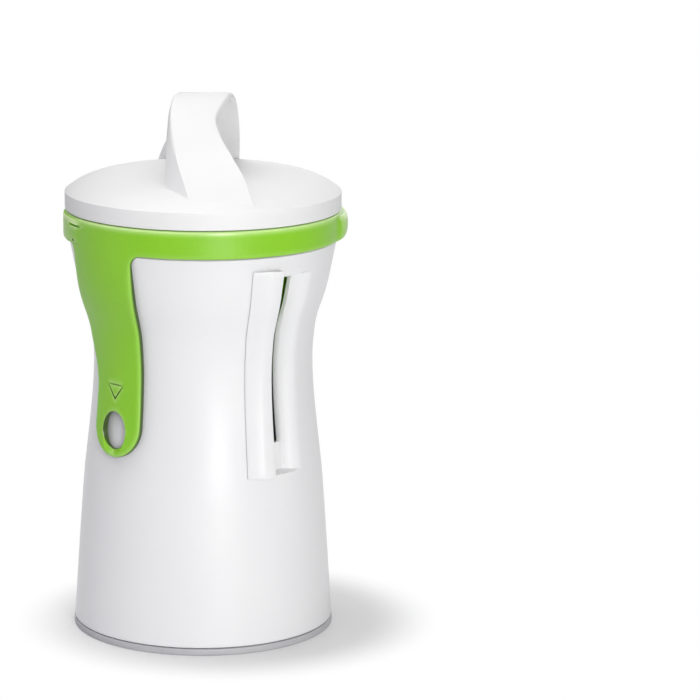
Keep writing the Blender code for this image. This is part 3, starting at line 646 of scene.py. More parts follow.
@dataclass
class Housing:
    """White hourglass shell with the outlet, its guard strip, the foot and the drum's bearing."""

    outline: Hourglass
    wall: float = 2.2 * MM
    edge: float = 0.5 * MM
    # Rounding of the lower edge: (rise, draw-in) as shares of the edge
    edge_steps: Profile = ((0.0, 1.0), (0.13, 0.5), (0.5, 0.13), (1.0, 0.0))
    shoulder_draw: float = 0.6
    neck_step: float = 2.1 * MM
    neck_wall: float = 2.0 * MM
    neck_chamfer: float = 0.3 * MM
    # The outlet's recess and slot: angles are azimuths
    recess_start: float = 25.0
    recess_edge: Range = (0.1, 0.6)
    recess_floor_end: float = 47.0
    recess_fade_end: float = 56.0
    recess_low: float = 58.4 * MM
    recess_high: float = 126.2 * MM
    recess_depth: float = 4.0 * MM
    recess_wall: float = 1.4 * MM
    recess_backing: float = 1.5 * MM
    slot_start: float = 26.0
    slot_low: float = 68.0 * MM
    slot_margin: float = 1.5 * MM
    ramp: float = 0.6 * MM
    guard_start: float = 21.3
    guard_end: float = 34.0
    guard_overlap: float = 2.4 * MM
    guard_round: float = 0.3 * MM
    # Section of the guard: (share of its width, height over the housing)
    guard_outer: Profile = ((0.0, 0.7 * MM), (0.12, 1.25 * MM), (0.3, 2.1 * MM), (0.5, 3.0 * MM),
                            (0.57, 3.24 * MM), (0.66, 3.34 * MM), (0.8, 3.36 * MM), (1.0, 3.3 * MM))
    guard_inner: Profile = ((1.0, GAP), (0.66, GAP), (0.33, GAP), (0.0, GAP))
    foot_height: float = 2.2 * MM
    foot_width: float = 4.5 * MM
    foot_lip: float = 1.8 * MM
    foot_round: float = 0.45 * MM
    bearing_bore: float = 13.4 * MM
    bearing_wall: float = 3.0 * MM
    bearing_round: float = 0.5 * MM
    arm_count: int = 3
    arm_width: float = 5.0 * MM
    arm_round: float = 0.35 * MM

    def depth(self, azimuth: float, height: float, margin: float = 0.0) -> float:
        """Depth of the outlet's recess.

        Args:
            azimuth: place round the axis.
            height: place along the axis.
            margin: how far the recess is widened, for the inner skin.

        Returns:
            The depth, 0 outside the recess.
        """
        start = self.recess_start - math.degrees(margin / self.outline.radius(height))
        before, after = self.recess_edge
        across = smooth(azimuth, start - before, start + after)
        if azimuth > self.recess_floor_end:
            fade = (self.recess_fade_end - azimuth) / (self.recess_fade_end - self.recess_floor_end)
            across = max(fade, 0.0) ** 2
        low, high = self.recess_low - margin, self.recess_high + margin
        along = smooth(height, low - 0.1 * MM, low + self.ramp)
        along *= 1.0 - smooth(height, high - self.ramp, high + 0.1 * MM)
        return self.recess_depth * across * along

    def azimuths(self) -> list[float]:
        """Columns of the shell, close together at the outlet."""
        columns = [21.0, 22.5, 23.2, 23.6, 24.2, 24.6, 24.9, 25.1, 25.3, 25.5, 25.7]
        columns += [self.slot_start] + spread(28.0, self.recess_floor_end, 10)
        columns += spread(47.8, self.recess_fade_end, 12)
        return columns + spread(58.0, 360.0 + 19.0, 131)

    def heights(self) -> list[float]:
        """Rows of the shell between its rounded lower edge and the shoulder."""
        low, high, ramp = self.recess_low, self.recess_high, self.ramp
        fringe = (0.3 * MM, 0.9 * MM, 1.6 * MM)
        rows = spread(4.0 * MM, low - 3.0 * MM, 22)
        rows += [low - step for step in reversed(fringe)]
        rows += spread(low - 0.1 * MM, low + ramp, 6)
        rows += [low + self.slot_margin, 0.5 * (low + self.slot_low)]
        rows += spread(self.slot_low, high - self.slot_margin, 28)
        rows += spread(high - ramp, high + 0.1 * MM, 6)
        rows += [high + step for step in fringe]
        return rows + spread(high + 2.4 * MM, self.outline.shoulder - self.edge, 4)

    def shell_rows(self, shape: Shape, columns: Sequence[float],
                   heights: Sequence[float]) -> tuple[list[tuple[list[int], list[int]]], int]:
        """Add the points of the shell's two skins, from the foot up to the top of the neck.

        Args:
            shape: mesh that takes the points.
            columns: azimuths of the columns.
            heights: heights of the rows that can carry the recess.

        Returns:
            The rows as (outer, inner) point numbers, and the number of the first of those heights.
        """
        rows: list[tuple[list[int], list[int]]] = []

        def add_row(outer: Sequence[float], inner: Sequence[float],
                    outer_z: float, inner_z: float) -> None:
            """Add one row of both skins."""
            rows.append((shape.row(polar(a, r, outer_z) for a, r in zip(columns, outer)),
                         shape.row(polar(a, r, inner_z) for a, r in zip(columns, inner))))

        def add_circle(outer: float, inner: float, outer_z: float, inner_z: float) -> None:
            """Add one row with the same radii all round."""
            add_row([outer] * len(columns), [inner] * len(columns), outer_z, inner_z)

        box = Extent.of("body_shell")
        low, high, shoulder = box.low.z, box.high.z, self.outline.shoulder
        foot_inner = self.outline.radius(low) - self.wall
        for lift, draw in self.edge_steps:
            z = low + lift * self.edge
            foot_outer = self.outline.radius(z) - draw * self.edge
            add_circle(foot_outer, foot_inner, z, low + lift * MM)
        first_row = len(rows)
        for z in heights:
            radius = self.outline.radius(z)
            backs = [self.depth(a, z, self.recess_backing) + self.recess_wall for a in columns]
            add_row([radius - self.depth(a, z) for a in columns],
                    [radius - max(self.wall, back) for back in backs], z, z)
        neck = Extent.of("selector_collar").radius - self.neck_step
        bore, chamfer = neck - self.neck_wall, self.neck_chamfer
        for share in (0.5, 1.0):
            draw = self.edge * (1.0 - math.sqrt(1.0 - share * share)) * self.shoulder_draw
            add_circle(self.outline.radius(shoulder) - draw, bore,
                       shoulder - self.edge * (1.0 - share), shoulder + 0.1 * MM * share)
        add_circle(neck, bore, shoulder, shoulder + 0.2 * MM)
        add_circle(neck, bore, high - chamfer, high - chamfer)
        add_circle(neck - chamfer, bore + chamfer, high, high)
        return rows, first_row

    def build_shell(self) -> None:
        """Build the shell with its recess and slot."""
        shape = Shape("housing_shell")
        columns, heights = self.azimuths(), self.heights()
        rows, first_row = self.shell_rows(shape, columns, heights)
        count = len(columns)
        limits = (self.slot_low - TINY, self.recess_high - self.slot_margin - TINY)
        open_rows = {first_row + i for i, z in enumerate(heights) if limits[0] <= z < limits[1]}
        limits = (self.slot_start - TINY, self.recess_floor_end - TINY)
        open_columns = {i for i, a in enumerate(columns) if limits[0] <= a < limits[1]}
        for row in range(len(rows) - 1):
            for column in range(count):
                if row in open_rows and column in open_columns:
                    continue
                after = (column + 1) % count
                corners = [(row, column), (row, after), (row + 1, after), (row + 1, column)]
                outer, inner = ([rows[r][side][c] for r, c in corners] for side in (0, 1))
                shape.face(*outer)
                shape.face(*inner)
                before = (column - 1) % count
                beside = [(row - 1, column), (row, after), (row + 1, column), (row, before)]
                for index, (near_row, near_column) in enumerate(beside):
                    if near_row in open_rows and near_column in open_columns:
                        following = (index + 1) % 4
                        shape.face(outer[index], outer[following], inner[following], inner[index])
        for outer, inner in (rows[0], rows[-1]):
            shape.strip(outer, inner, closed=True)
        dress(shape.piece(), BODY_WHITE, Body.HOUSING, ["body_shell"])

    def build_guard(self) -> None:
        """Build the strip that stands proud along the outlet's left edge."""
        width = self.guard_end - self.guard_start
        sections = []
        for height in spread(self.recess_low, self.recess_high + self.guard_overlap, 40):
            radius = self.outline.radius(height)
            sections.append([polar(self.guard_start + width * share, radius + rise, height)
                             for share, rise in (*self.guard_outer, *self.guard_inner)])
        guard = round_edges(loft("outlet_guard_strip", sections), self.guard_round, 2, 50.0)
        dress(guard, BODY_WHITE, Body.HOUSING, ["outlet_guard"])

    def build_foot(self) -> None:
        """Build the foot ring, with the lip that holds it inside the shell."""
        box = Extent.of("base_ring")
        shell_low = Extent.of("body_shell").low.z
        outer, high, step = box.radius, box.high.z, self.foot_height
        lip = self.outline.radius(shell_low + high - step) - self.wall - GAP
        profile = [(outer, 0.0), (outer, step), (lip, step), (lip, high),
                   (lip - self.foot_lip, high), (outer - self.foot_width, 0.0)]
        ring = swept_ring("foot_ring", rounded(profile, self.foot_round), FOOT)
        dress(ring, FOOT, Body.HOUSING, ["base_ring"])

    def build_bearing(self) -> None:
        """Build the guide for the drum's tip: a ring on three arms."""
        box = Extent.of("drum_bearing")
        low, high, bore = box.low.z, box.high.z, self.bearing_bore
        wall = bore + self.bearing_wall
        profile = [(bore, low), (wall, low), (wall, high), (bore, high)]
        profile = rounded(profile, self.bearing_round)
        ring = swept_ring("drum_bearing_ring", profile, BODY_WHITE, 96)
        half = 0.5 * self.arm_width
        reach = min(self.outline.radius(low), self.outline.radius(high)) - self.wall - GAP
        end = math.sqrt(reach * reach - half * half)
        for index in range(self.arm_count):
            place = facing(360.0 / self.arm_count * (index + 1), 0.5 * (low + high))
            arm = block("drum_bearing_arm", (-half, half), (0.5 * (low - high), 0.5 * (high - low)),
                        (wall - MM, end), place)
            combine(ring, round_edges(arm, self.arm_round, 2), "UNION")
        dress(ring, BODY_WHITE, Body.HOUSING, ["drum_bearing"])

    def build(self) -> None:
        """Build the whole housing."""
        self.build_shell()
        self.build_guard()
        self.build_foot()
        self.build_bearing()


def turn_outwards(item: bpy.types.Object) -> bpy.types.Object:
    """Merge a mesh's doubles and turn its faces outwards."""
    work = bmesh.new()
    work.from_mesh(item.data)
    bmesh.ops.remove_doubles(work, verts=work.verts, dist=TINY)
    bmesh.ops.recalc_face_normals(work, faces=work.faces)
    work.to_mesh(item.data)
    work.free()
    return item


class GeometryTree:
    """Base of the geometry trees: named inputs and one result that is realized and painted."""

    title = "tree"
    inputs: dict[str, str] = {}

    def __init__(self) -> None:
        """Make the tree."""
        self.tree = bpy.data.node_groups.new(self.title, "GeometryNodeTree")
        new_socket = self.tree.interface.new_socket
        sockets = {"Geometry": "Geometry", **self.inputs, "Finish": "Material"}
        for label, kind in sockets.items():
            new_socket(label, in_out="INPUT", socket_type=f"NodeSocket{kind}")
        new_socket("Geometry", in_out="OUTPUT", socket_type="NodeSocketGeometry")
        writer = TreeWriter(self.tree)
        given = writer.add("NodeGroupInput").outputs
        real = writer.add("GeometryNodeRealizeInstances", {0: self.shape(writer, given)}).outputs[0]
        inputs = {"Geometry": real, "Material": given["Finish"]}
        painted = writer.add("GeometryNodeSetMaterial", inputs)
        writer.add("NodeGroupOutput", {0: painted.outputs[0]})

    def shape(self, writer: TreeWriter, given: bpy.types.NodeOutputs) -> Socket:
        """Add the tree's own nodes.

        Args:
            writer: adds the nodes.
            given: the tree's inputs.

        Returns:
            The geometry's socket.
        """
        raise NotImplementedError

    def run(self, item: bpy.types.Object, finish: Finish,
            values: dict[str, object]) -> bpy.types.Object:
        """Run the tree on an object and keep its result as a plain mesh.

        Args:
            item: the object.
            finish: finish of the result.
            values: the tree's inputs by name.

        Returns:
            The object.
        """
        modifier = item.modifiers.new(self.title, "NODES")
        modifier.node_group = self.tree
        names = {socket.name: socket.identifier for socket in self.tree.interface.items_tree
                 if socket.in_out == "INPUT"}
        for name, value in {**values, "Finish": finish.get()}.items():
            modifier[names[name]] = value
        return turn_outwards(settle(item))


class SweepTree(GeometryTree):
    """Sweeps a closed profile round the axis."""

    title = "sweep_round_axis"
    inputs = {"Path Radius": "Float", "Segments": "Int"}

    def shape(self, writer: TreeWriter, given: bpy.types.NodeOutputs) -> Socket:
        """Turn the profile into a curve and sweep it along a circle."""
        profile = writer.add("GeometryNodeMeshToCurve", {0: given["Geometry"]}).outputs[0]
        size = {"Resolution": given["Segments"], "Radius": given["Path Radius"]}
        path = writer.add("GeometryNodeCurvePrimitiveCircle", size).outputs[0]
        inputs = {"Curve": path, "Profile Curve": profile}
        return writer.add("GeometryNodeCurveToMesh", inputs).outputs[0]


class RowTree(GeometryTree):
    """Repeats a piece along a line, on a carrier of its own."""

    title = "row_on_carrier"
    inputs = {"Count": "Int", "Step": "Vector", "Carrier": "Object"}

    def shape(self, writer: TreeWriter, given: bpy.types.NodeOutputs) -> Socket:
        """Put an instance on each point of a line and join the carrier."""
        steps = {"Count": given["Count"], "Offset": given["Step"]}
        line = writer.add("GeometryNodeMeshLine", steps).outputs[0]
        inputs = {"Points": line, "Instance": given["Geometry"]}
        row = writer.add("GeometryNodeInstanceOnPoints", inputs).outputs[0]
        carrier = writer.add("GeometryNodeObjectInfo", {0: given["Carrier"]}).outputs["Geometry"]
        joined = writer.add("GeometryNodeJoinGeometry", {0: row})
        writer.feed(joined, {0: carrier})
        return joined.outputs[0]


class RingTree(GeometryTree):
    """Repeats a piece round the axis."""

    title = "ring_round_axis"
    inputs = {"Count": "Int"}

    def shape(self, writer: TreeWriter, given: bpy.types.NodeOutputs) -> Socket:
        """Put turned instances on points that all lie on the axis."""
        steps = {"Count": given["Count"], "Offset": (0.0, 0.0, 0.0)}
        points = writer.add("GeometryNodeMeshLine", steps).outputs[0]
        step = writer.math("DIVIDE", 2.0 * math.pi, given["Count"])
        angle = writer.math("MULTIPLY", writer.add("GeometryNodeInputIndex").outputs[0], step)
        turn = writer.add("ShaderNodeCombineXYZ", {2: angle}).outputs[0]
        rotation = writer.add("FunctionNodeEulerToRotation", {0: turn}).outputs[0]
        inputs = {"Points": points, "Instance": given["Geometry"], "Rotation": rotation}
        return writer.add("GeometryNodeInstanceOnPoints", inputs).outputs[0]


def swept_ring(name: str, profile: Profile, finish: Finish,
               segments: int = 180) -> bpy.types.Object:
    """Ring from a closed profile of (radius, height) points, made by the sweep tree."""
    path_radius = max(radius for radius, _ in profile)
    mesh = bpy.data.meshes.new(name)
    count = len(profile)
    mesh.from_pydata([(radius - path_radius, -height, 0.0) for radius, height in profile],
                     [(index, (index + 1) % count) for index in range(count)], [])
    item = bpy.data.objects.new(name, mesh)
    bpy.context.scene.collection.objects.link(item)
    return SweepTree().run(item, finish, {"Path Radius": path_radius, "Segments": segments})


def rounded(profile: Profile, radius: float, steps: int = 3) -> list[Range]:
    """Closed profile with its corners rounded."""
    result = []
    count = len(profile)
    for index in range(count):
        before, corner, after = (Vector(profile[(index + shift) % count]) for shift in (-1, 0, 1))
        reach = min(radius, 0.4 * (corner - before).length, 0.4 * (corner - after).length)
        start = corner + (before - corner).normalized() * reach
        end = corner + (after - corner).normalized() * reach
        for share in spread(0.0, 1.0, steps + 1):
            point = start.lerp(corner, share).lerp(corner.lerp(end, share), share)
            result.append((point.x, point.y))
    return result


@dataclass(frozen=True)
class Swelling:
    """Soft bulge of the collar's wall, about an azimuth and across the height of the ring."""

    azimuth: float
    reach: float
    rise: float
    boxiness: float


@dataclass
class Collar:
    """Green ring with the long leg, its eyelet and mark, the thumb tab and the side pad."""

    outline: Hourglass
    skirt_wall: float = 1.7 * MM
    rim_wall: float = 3.3 * MM
    rim_round: float = 0.8 * MM
    edge_round: float = 0.9 * MM
    web_bore: float = 39.9 * MM
    web_thickness: float = 1.2 * MM
    web_drop: float = 5.1 * MM
    web_ledge: float = 0.4 * MM
    wall_start: float = 0.8 * MM
    wall_rows: int = 9
    wall_columns: int = 157
    # Leg: the widening is (degrees, height where it starts, height where it is full)
    leg_azimuth: float = -46.5
    leg_half: float = 15.5
    leg_rise: float = 3.0 * MM
    leg_blend: float = 1.6 * MM
    leg_gap: float = 1.0 * MM
    leg_root: float = 1.15 * MM
    leg_fillet: float = 3.4 * MM
    leg_edge: float = 1.4 * MM
    leg_edge_growth: float = 9.0 * MM
    leg_lip: float = 0.9 * MM
    leg_widening: Triple = (5.5, 86.0 * MM, 106.0 * MM)
    leg_columns: int = 22
    leg_rows: int = 42
    flare_rows: int = 9
    tip_rows: int = 15
    # Eyelet: full width and height; its mouth is (depth, how much the bore grows)
    eyelet_drop: float = 60.0 * MM
    eyelet: Range = (10.6 * MM, 12.6 * MM)
    eyelet_mouth: Profile = ((-4.0 * MM, 0.0), (-0.8 * MM, 0.0), (-0.45 * MM, 0.08 * MM),
                             (-0.2 * MM, 0.25 * MM), (0.0, 0.55 * MM), (1.0 * MM, 1.9 * MM))
    mark_height: float = 85.9 * MM
    mark: Range = (7.3 * MM, 4.8 * MM)
    mark_line: float = 0.45 * MM
    mark_depth: float = 0.3 * MM
    tab: Swelling = Swelling(90.0, 16.0, 2.1 * MM, 2.6)
    pad: Swelling = Swelling(-77.0, 14.5, 0.5 * MM, 8.0)
    swelling_height: float = 0.97
    # Pad: the slot is (azimuth, width, height, thickness), the dot (azimuth, height, radius)
    pad_slot: tuple[float, ...] = (-66.0, 7.5 * MM, 140.0 * MM, 0.8 * MM)
    pad_dot: Triple = (-66.7, 134.95 * MM, 0.5 * MM)
    pad_cut: Range = (-0.4 * MM, 2.0 * MM)

    def __post_init__(self) -> None:
        """Read the ring's size from the frame and work out the steps of its rounded lower edge."""
        box = Extent.of("selector_collar")
        self.radius = box.radius
        self.top = box.high.z
        self.leg_low = box.low.z
        self.low = self.outline.shoulder + GAP
        self.bore = self.radius - self.rim_wall
        self.skirt = self.radius - self.skirt_wall
        self.root = self.radius - self.leg_root
        turns = [math.radians(turn) for turn in spread(0.0, 90.0, 6)]
        self.insets = [1.0 - math.cos(turn) for turn in turns]
        self.drops = [1.0 - math.sin(turn) for turn in turns]
        self.sides = [self.leg_side(inset) for inset in self.insets]
        self.side_count = len(self.sides[0])

    def leg_outer(self, height: float) -> float:
        """Outer radius of the leg, which runs smoothly into the ring."""
        return soft_min(self.outline.radius(height) + self.leg_rise, self.radius, self.leg_blend)

    def leg_inner(self, height: float) -> float:
        """Inner radius of the leg."""
        return min(self.outline.radius(height) + self.leg_gap, self.root)

    def swell(self, azimuth: float, height: float) -> float:
        """How far the thumb tab and the side pad stand out of the ring."""
        total = 0.0
        middle, half = 0.5 * (self.low + self.top), 0.5 * (self.top - self.low)
        along = (height - middle) / (half * self.swelling_height)
        for bulge in (self.tab, self.pad):
            across = ((azimuth - bulge.azimuth + 180.0) % 360.0 - 180.0) / bulge.reach
            if abs(across) < 1.0 and abs(along) < 1.0:
                height_share = 1.0 - abs(along) ** bulge.boxiness
                total += bulge.rise * math.sqrt((1.0 - across ** 4) * height_share)
        return total

    def edge_at(self, height: float) -> float:
        """Width of the rounded edge, which grows from the ring down the leg."""
        growth = smooth(self.low - height, 0.0, self.leg_edge_growth)
        return self.edge_round + (self.leg_edge - self.edge_round) * growth

    def leg_place(self, half: float, height: float, share: float) -> float:
        """Azimuth of a place across the leg, which widens on its left side from the flare up.

        Args:
            half: half of the leg's width there, in degrees.
            height: height on the leg.
            share: -1 at the left edge, 1 at the right edge.

        Returns:
            The azimuth.
        """
        reach, start, full = self.leg_widening
        widening = 0.5 * reach * smooth(height, start, full) * (1.0 - share)
        return self.leg_azimuth + half * share - widening

    def leg_side(self, depth: float) -> list[Range]:
        """Outline of the leg's right side from the ring down to its lowest point.

        Args:
            depth: distance from the leg's edge into the leg, as a share of the rounded edge.

        Returns:
            (azimuth from the leg's middle, height) points.
        """
        flare = math.degrees(self.leg_fillet / self.radius)
        inset, fillet = depth * self.edge_round, self.leg_fillet
        points = []
        reach = 1.0 + inset / fillet
        for turn in spread(90.0, 0.0, self.flare_rows):
            angle = math.radians(turn)
            points.append((self.leg_half + flare * (1.0 - reach * math.cos(angle)),
                           self.low - fillet + (fillet + inset) * math.sin(angle)))
        both_radii = self.leg_inner(self.leg_low) + self.leg_outer(self.leg_low)
        half_width = math.radians(self.leg_half) * 0.5 * both_radii
        centre = self.leg_low + half_width
        for height in spread(self.low - self.leg_fillet, centre, self.leg_rows)[1:]:
            inset = depth * self.edge_at(height)
            points.append((self.leg_half - math.degrees(inset / self.leg_outer(height)), height))
        share = 1.0 - depth * self.edge_at(centre) / half_width
        for turn in spread(0.0, -90.0, self.tip_rows)[1:]:
            angle = math.radians(turn)
            points.append((self.leg_half * share * math.cos(angle),
                           centre + half_width * share * math.sin(angle)))
        return points

    def rim_profile(self) -> list[Range]:
        """Profile from the outer wall over the rim and down inside to the skirt's lower edge."""
        soft, ledge = self.rim_round, self.web_ledge
        start = self.low + self.edge_round + self.wall_start
        points = [(self.radius, z) for z in spread(start, self.top - soft, self.wall_rows)]
        quarter = [math.radians(turn) for turn in (22.5, 45.0, 67.5, 90.0)]
        for angle in quarter:
            points.append((self.radius - soft + soft * math.cos(angle),
                           self.top - soft + soft * math.sin(angle)))
        for angle in (*reversed(quarter), 0.0):
            points.append((self.bore + soft - soft * math.cos(angle),
                           self.top - soft + soft * math.sin(angle)))
        web_top = self.top - self.web_drop
        web_low = web_top - self.web_thickness
        points += [(self.bore, web_top + ledge), (self.bore - ledge, web_top)]
        points += [(self.web_bore, web_top), (self.web_bore, web_low)]
        return points + [(self.skirt, web_low), (self.skirt, self.low)]

    def leg_bands(self, shape: Shape, sign: int) -> list[list[int]]:
        """Rows of the rounded edge from the wall to the face, along one side of the leg.

        Args:
            shape: mesh that takes the points.
            sign: -1 for the left side, 1 for the right one, which leaves out the shared lowest row.

        Returns:
            The rows' point numbers, from the ring down.
        """
        bands = []
        for index in range(self.side_count - 1 if sign > 0 else self.side_count):
            half, height = self.sides[0][index]
            lip = min(self.outline.radius(height) + self.leg_lip, self.root)
            inner = lip if index else self.root
            places = [polar(self.leg_place(half, height, sign), inner, height)]
            for side, drop in zip(self.sides, self.drops):
                half, height = side[index]
                face = self.leg_outer(height) if index else self.radius
                outer = face - drop * self.edge_at(height)
                places.append(polar(self.leg_place(half, height, sign), outer, height))
            bands.append(shape.row(places))
        return bands

    def ring_band(self, shape: Shape, azimuth: float) -> list[int]:
        """Row of the ring's rounded lower edge at an azimuth."""
        places = [polar(azimuth, self.root, self.low)]
        for inset, drop in zip(self.insets, self.drops):
            height = self.low + self.edge_round * inset
            radius = self.radius - self.edge_round * drop + self.swell(azimuth, height)
            places.append(polar(azimuth, radius, height))
        return shape.row(places)

    def over_rim(self, shape: Shape, azimuth: float) -> list[int]:
        """Column of the ring's wall, rim and inner side at an azimuth."""
        places = []
        for radius, height in self.rim_profile():
            bulge = self.swell(azimuth, height) if radius > self.radius - TINY else 0.0
            places.append(polar(azimuth, radius + bulge, height))
        return shape.row(places)

    def leg_row(self, shape: Shape, above: list[int], place: Range,
                radius: Callable[[float], float], ends: tuple[int, int]) -> list[int]:
        """Add one row of a face of the leg and join it to the row above.

        Args:
            shape: mesh that takes the points.
            above: the row above.
            place: half of the leg's width in degrees, and the row's height.
            radius: gives the face's radius at a height.
            ends: numbers of the row's first and last point.

        Returns:
            The new row.
        """
        half, height = place
        between = shape.row(polar(self.leg_place(half, height, share), radius(height), height)
                            for share in spread(-1.0, 1.0, self.leg_columns + 1)[1:-1])
        row = [ends[0]] + between + [ends[1]]
        shape.strip(above, row)
        return row

    def build_leg(self, shape: Shape, left: list[list[int]], right: list[list[int]],
                  outer_row: list[int], inner_row: list[int]) -> None:
        """Fill the leg's outer and inner faces between its two edges.

        Args:
            shape: mesh that takes the points.
            left: rows of the left edge.
            right: rows of the right edge.
            outer_row: the outer face's upper row.
            inner_row: the inner face's upper row.
        """
        for index in range(1, self.side_count - 1):
            outer_row = self.leg_row(shape, outer_row, self.sides[-1][index], self.leg_outer,
                                     (left[index][-1], right[index][-1]))
            inner_row = self.leg_row(shape, inner_row, self.sides[0][index], self.leg_inner,
                                     (left[index][0], right[index][0]))
        for row, lowest in ((outer_row, left[-1][-1]), (inner_row, left[-1][0])):
            for near, far in zip(row, row[1:]):
                shape.face(near, far, lowest)

    def build_ring(self) -> bpy.types.Object:
        """Build the ring and its leg as one skin, with its lower outline rounded all along."""
        shape = Shape("selector_collar_ring")
        left = self.leg_bands(shape, -1)
        right = self.leg_bands(shape, 1) + [left[-1]]
        for bands in (left, right):
            for lower, upper in zip(bands, bands[1:]):
                shape.strip(lower, upper)

        end, start = (self.leg_place(self.sides[0][0][0], self.low, share) for share in (-1.0, 1.0))
        around = spread(start, end + 360.0, self.wall_columns)
        bands = [self.ring_band(shape, azimuth) for azimuth in around[1:-1]]
        bands = [right[0]] + bands + [left[0]]
        for lower, upper in zip(bands, bands[1:]):
            shape.strip(lower, upper)

        columns = [self.over_rim(shape, azimuth) for azimuth in around]
        for column, band in zip(columns, bands):
            column.insert(0, band[-1])
            column.append(band[0])
        root_outer, root_inner = [], []
        for azimuth in spread(end, start, self.leg_columns + 1)[1:-1]:
            column = self.over_rim(shape, azimuth)
            root_outer += shape.row([polar(azimuth, self.radius, self.low + self.edge_round)])
            root_inner += shape.row([polar(azimuth, self.root, self.low)])
            columns.append([root_outer[-1]] + column + [root_inner[-1]])
        for near, far in zip(columns, columns[1:] + columns[:1]):
            shape.strip(near, far)

        self.build_leg(shape, left, right, [left[0][-1]] + root_outer + [right[0][-1]],
                       [left[0][0]] + root_inner + [right[0][0]])
        return shape.piece()

    def cut_eyelet(self, ring: bpy.types.Object) -> None:
        """Cut the oval eyelet, with a rounded mouth."""
        height = self.outline.shoulder - self.eyelet_drop
        face = self.leg_outer(height)
        sections = []
        for depth, grow in self.eyelet_mouth:
            half_width, half_height = (0.5 * size + grow for size in self.eyelet)
            sections.append([Vector((half_width * math.cos(math.radians(turn)),
                                     half_height * math.sin(math.radians(turn)), face + depth))
                             for turn in range(0, 360, 6)])
        combine(ring, loft("eyelet_bore", sections, facing(self.leg_azimuth, height)), "DIFFERENCE")

    def cut_mark(self, ring: bpy.types.Object) -> None:
        """Engrave the outline of the small triangle above the eyelet."""
        face = self.leg_outer(self.mark_height)
        half, height = 0.5 * self.mark[0], self.mark[1]
        inner = half * height / (half + math.hypot(half, height))
        grow = 0.5 * self.mark_line / inner
        shape = Shape("mark_groove")
        rows = []
        for x, y in ((-half, inner), (half, inner), (0.0, inner - height)):
            corners = [(1.0 - grow, -self.mark_depth), (1.0 + grow, -self.mark_depth),
                       (1.0 + grow, MM), (1.0 - grow, MM)]
            rise = 0.5 * height
            rows.append(shape.row(Vector((x * scale, y * scale + rise - inner, face + depth))
                                  for scale, depth in corners))
        for near, far in zip(rows, rows[1:] + rows[:1]):
            shape.strip(near, far, closed=True)
        combine(ring, shape.piece(facing(self.leg_azimuth, self.mark_height)), "DIFFERENCE")

    def cut_pad(self, ring: bpy.types.Object) -> None:
        """Cut the slot at the top of the side pad and the small pin mark at its foot."""
        azimuth, width, height, thickness = self.pad_slot
        depth = (self.radius + self.pad_cut[0], self.radius + self.pad_cut[1])
        across, along = ((-0.5 * size, 0.5 * size) for size in (width, thickness))
        slot = block("pad_slot", across, along, depth, facing(azimuth, height))
        combine(ring, slot, "DIFFERENCE")
        azimuth, height, radius = self.pad_dot
        dot = prism("pad_dot", disc(0.0, 0.0, radius, 20), *depth, facing(azimuth, height))
        combine(ring, dot, "DIFFERENCE")

    def build(self) -> None:
        """Build the whole collar."""
        ring = self.build_ring()
        self.cut_pad(ring)
        self.cut_eyelet(ring)
        self.cut_mark(ring)
        dress(ring, LIME, Body.SELECTOR, ["selector_collar"], 32.0)


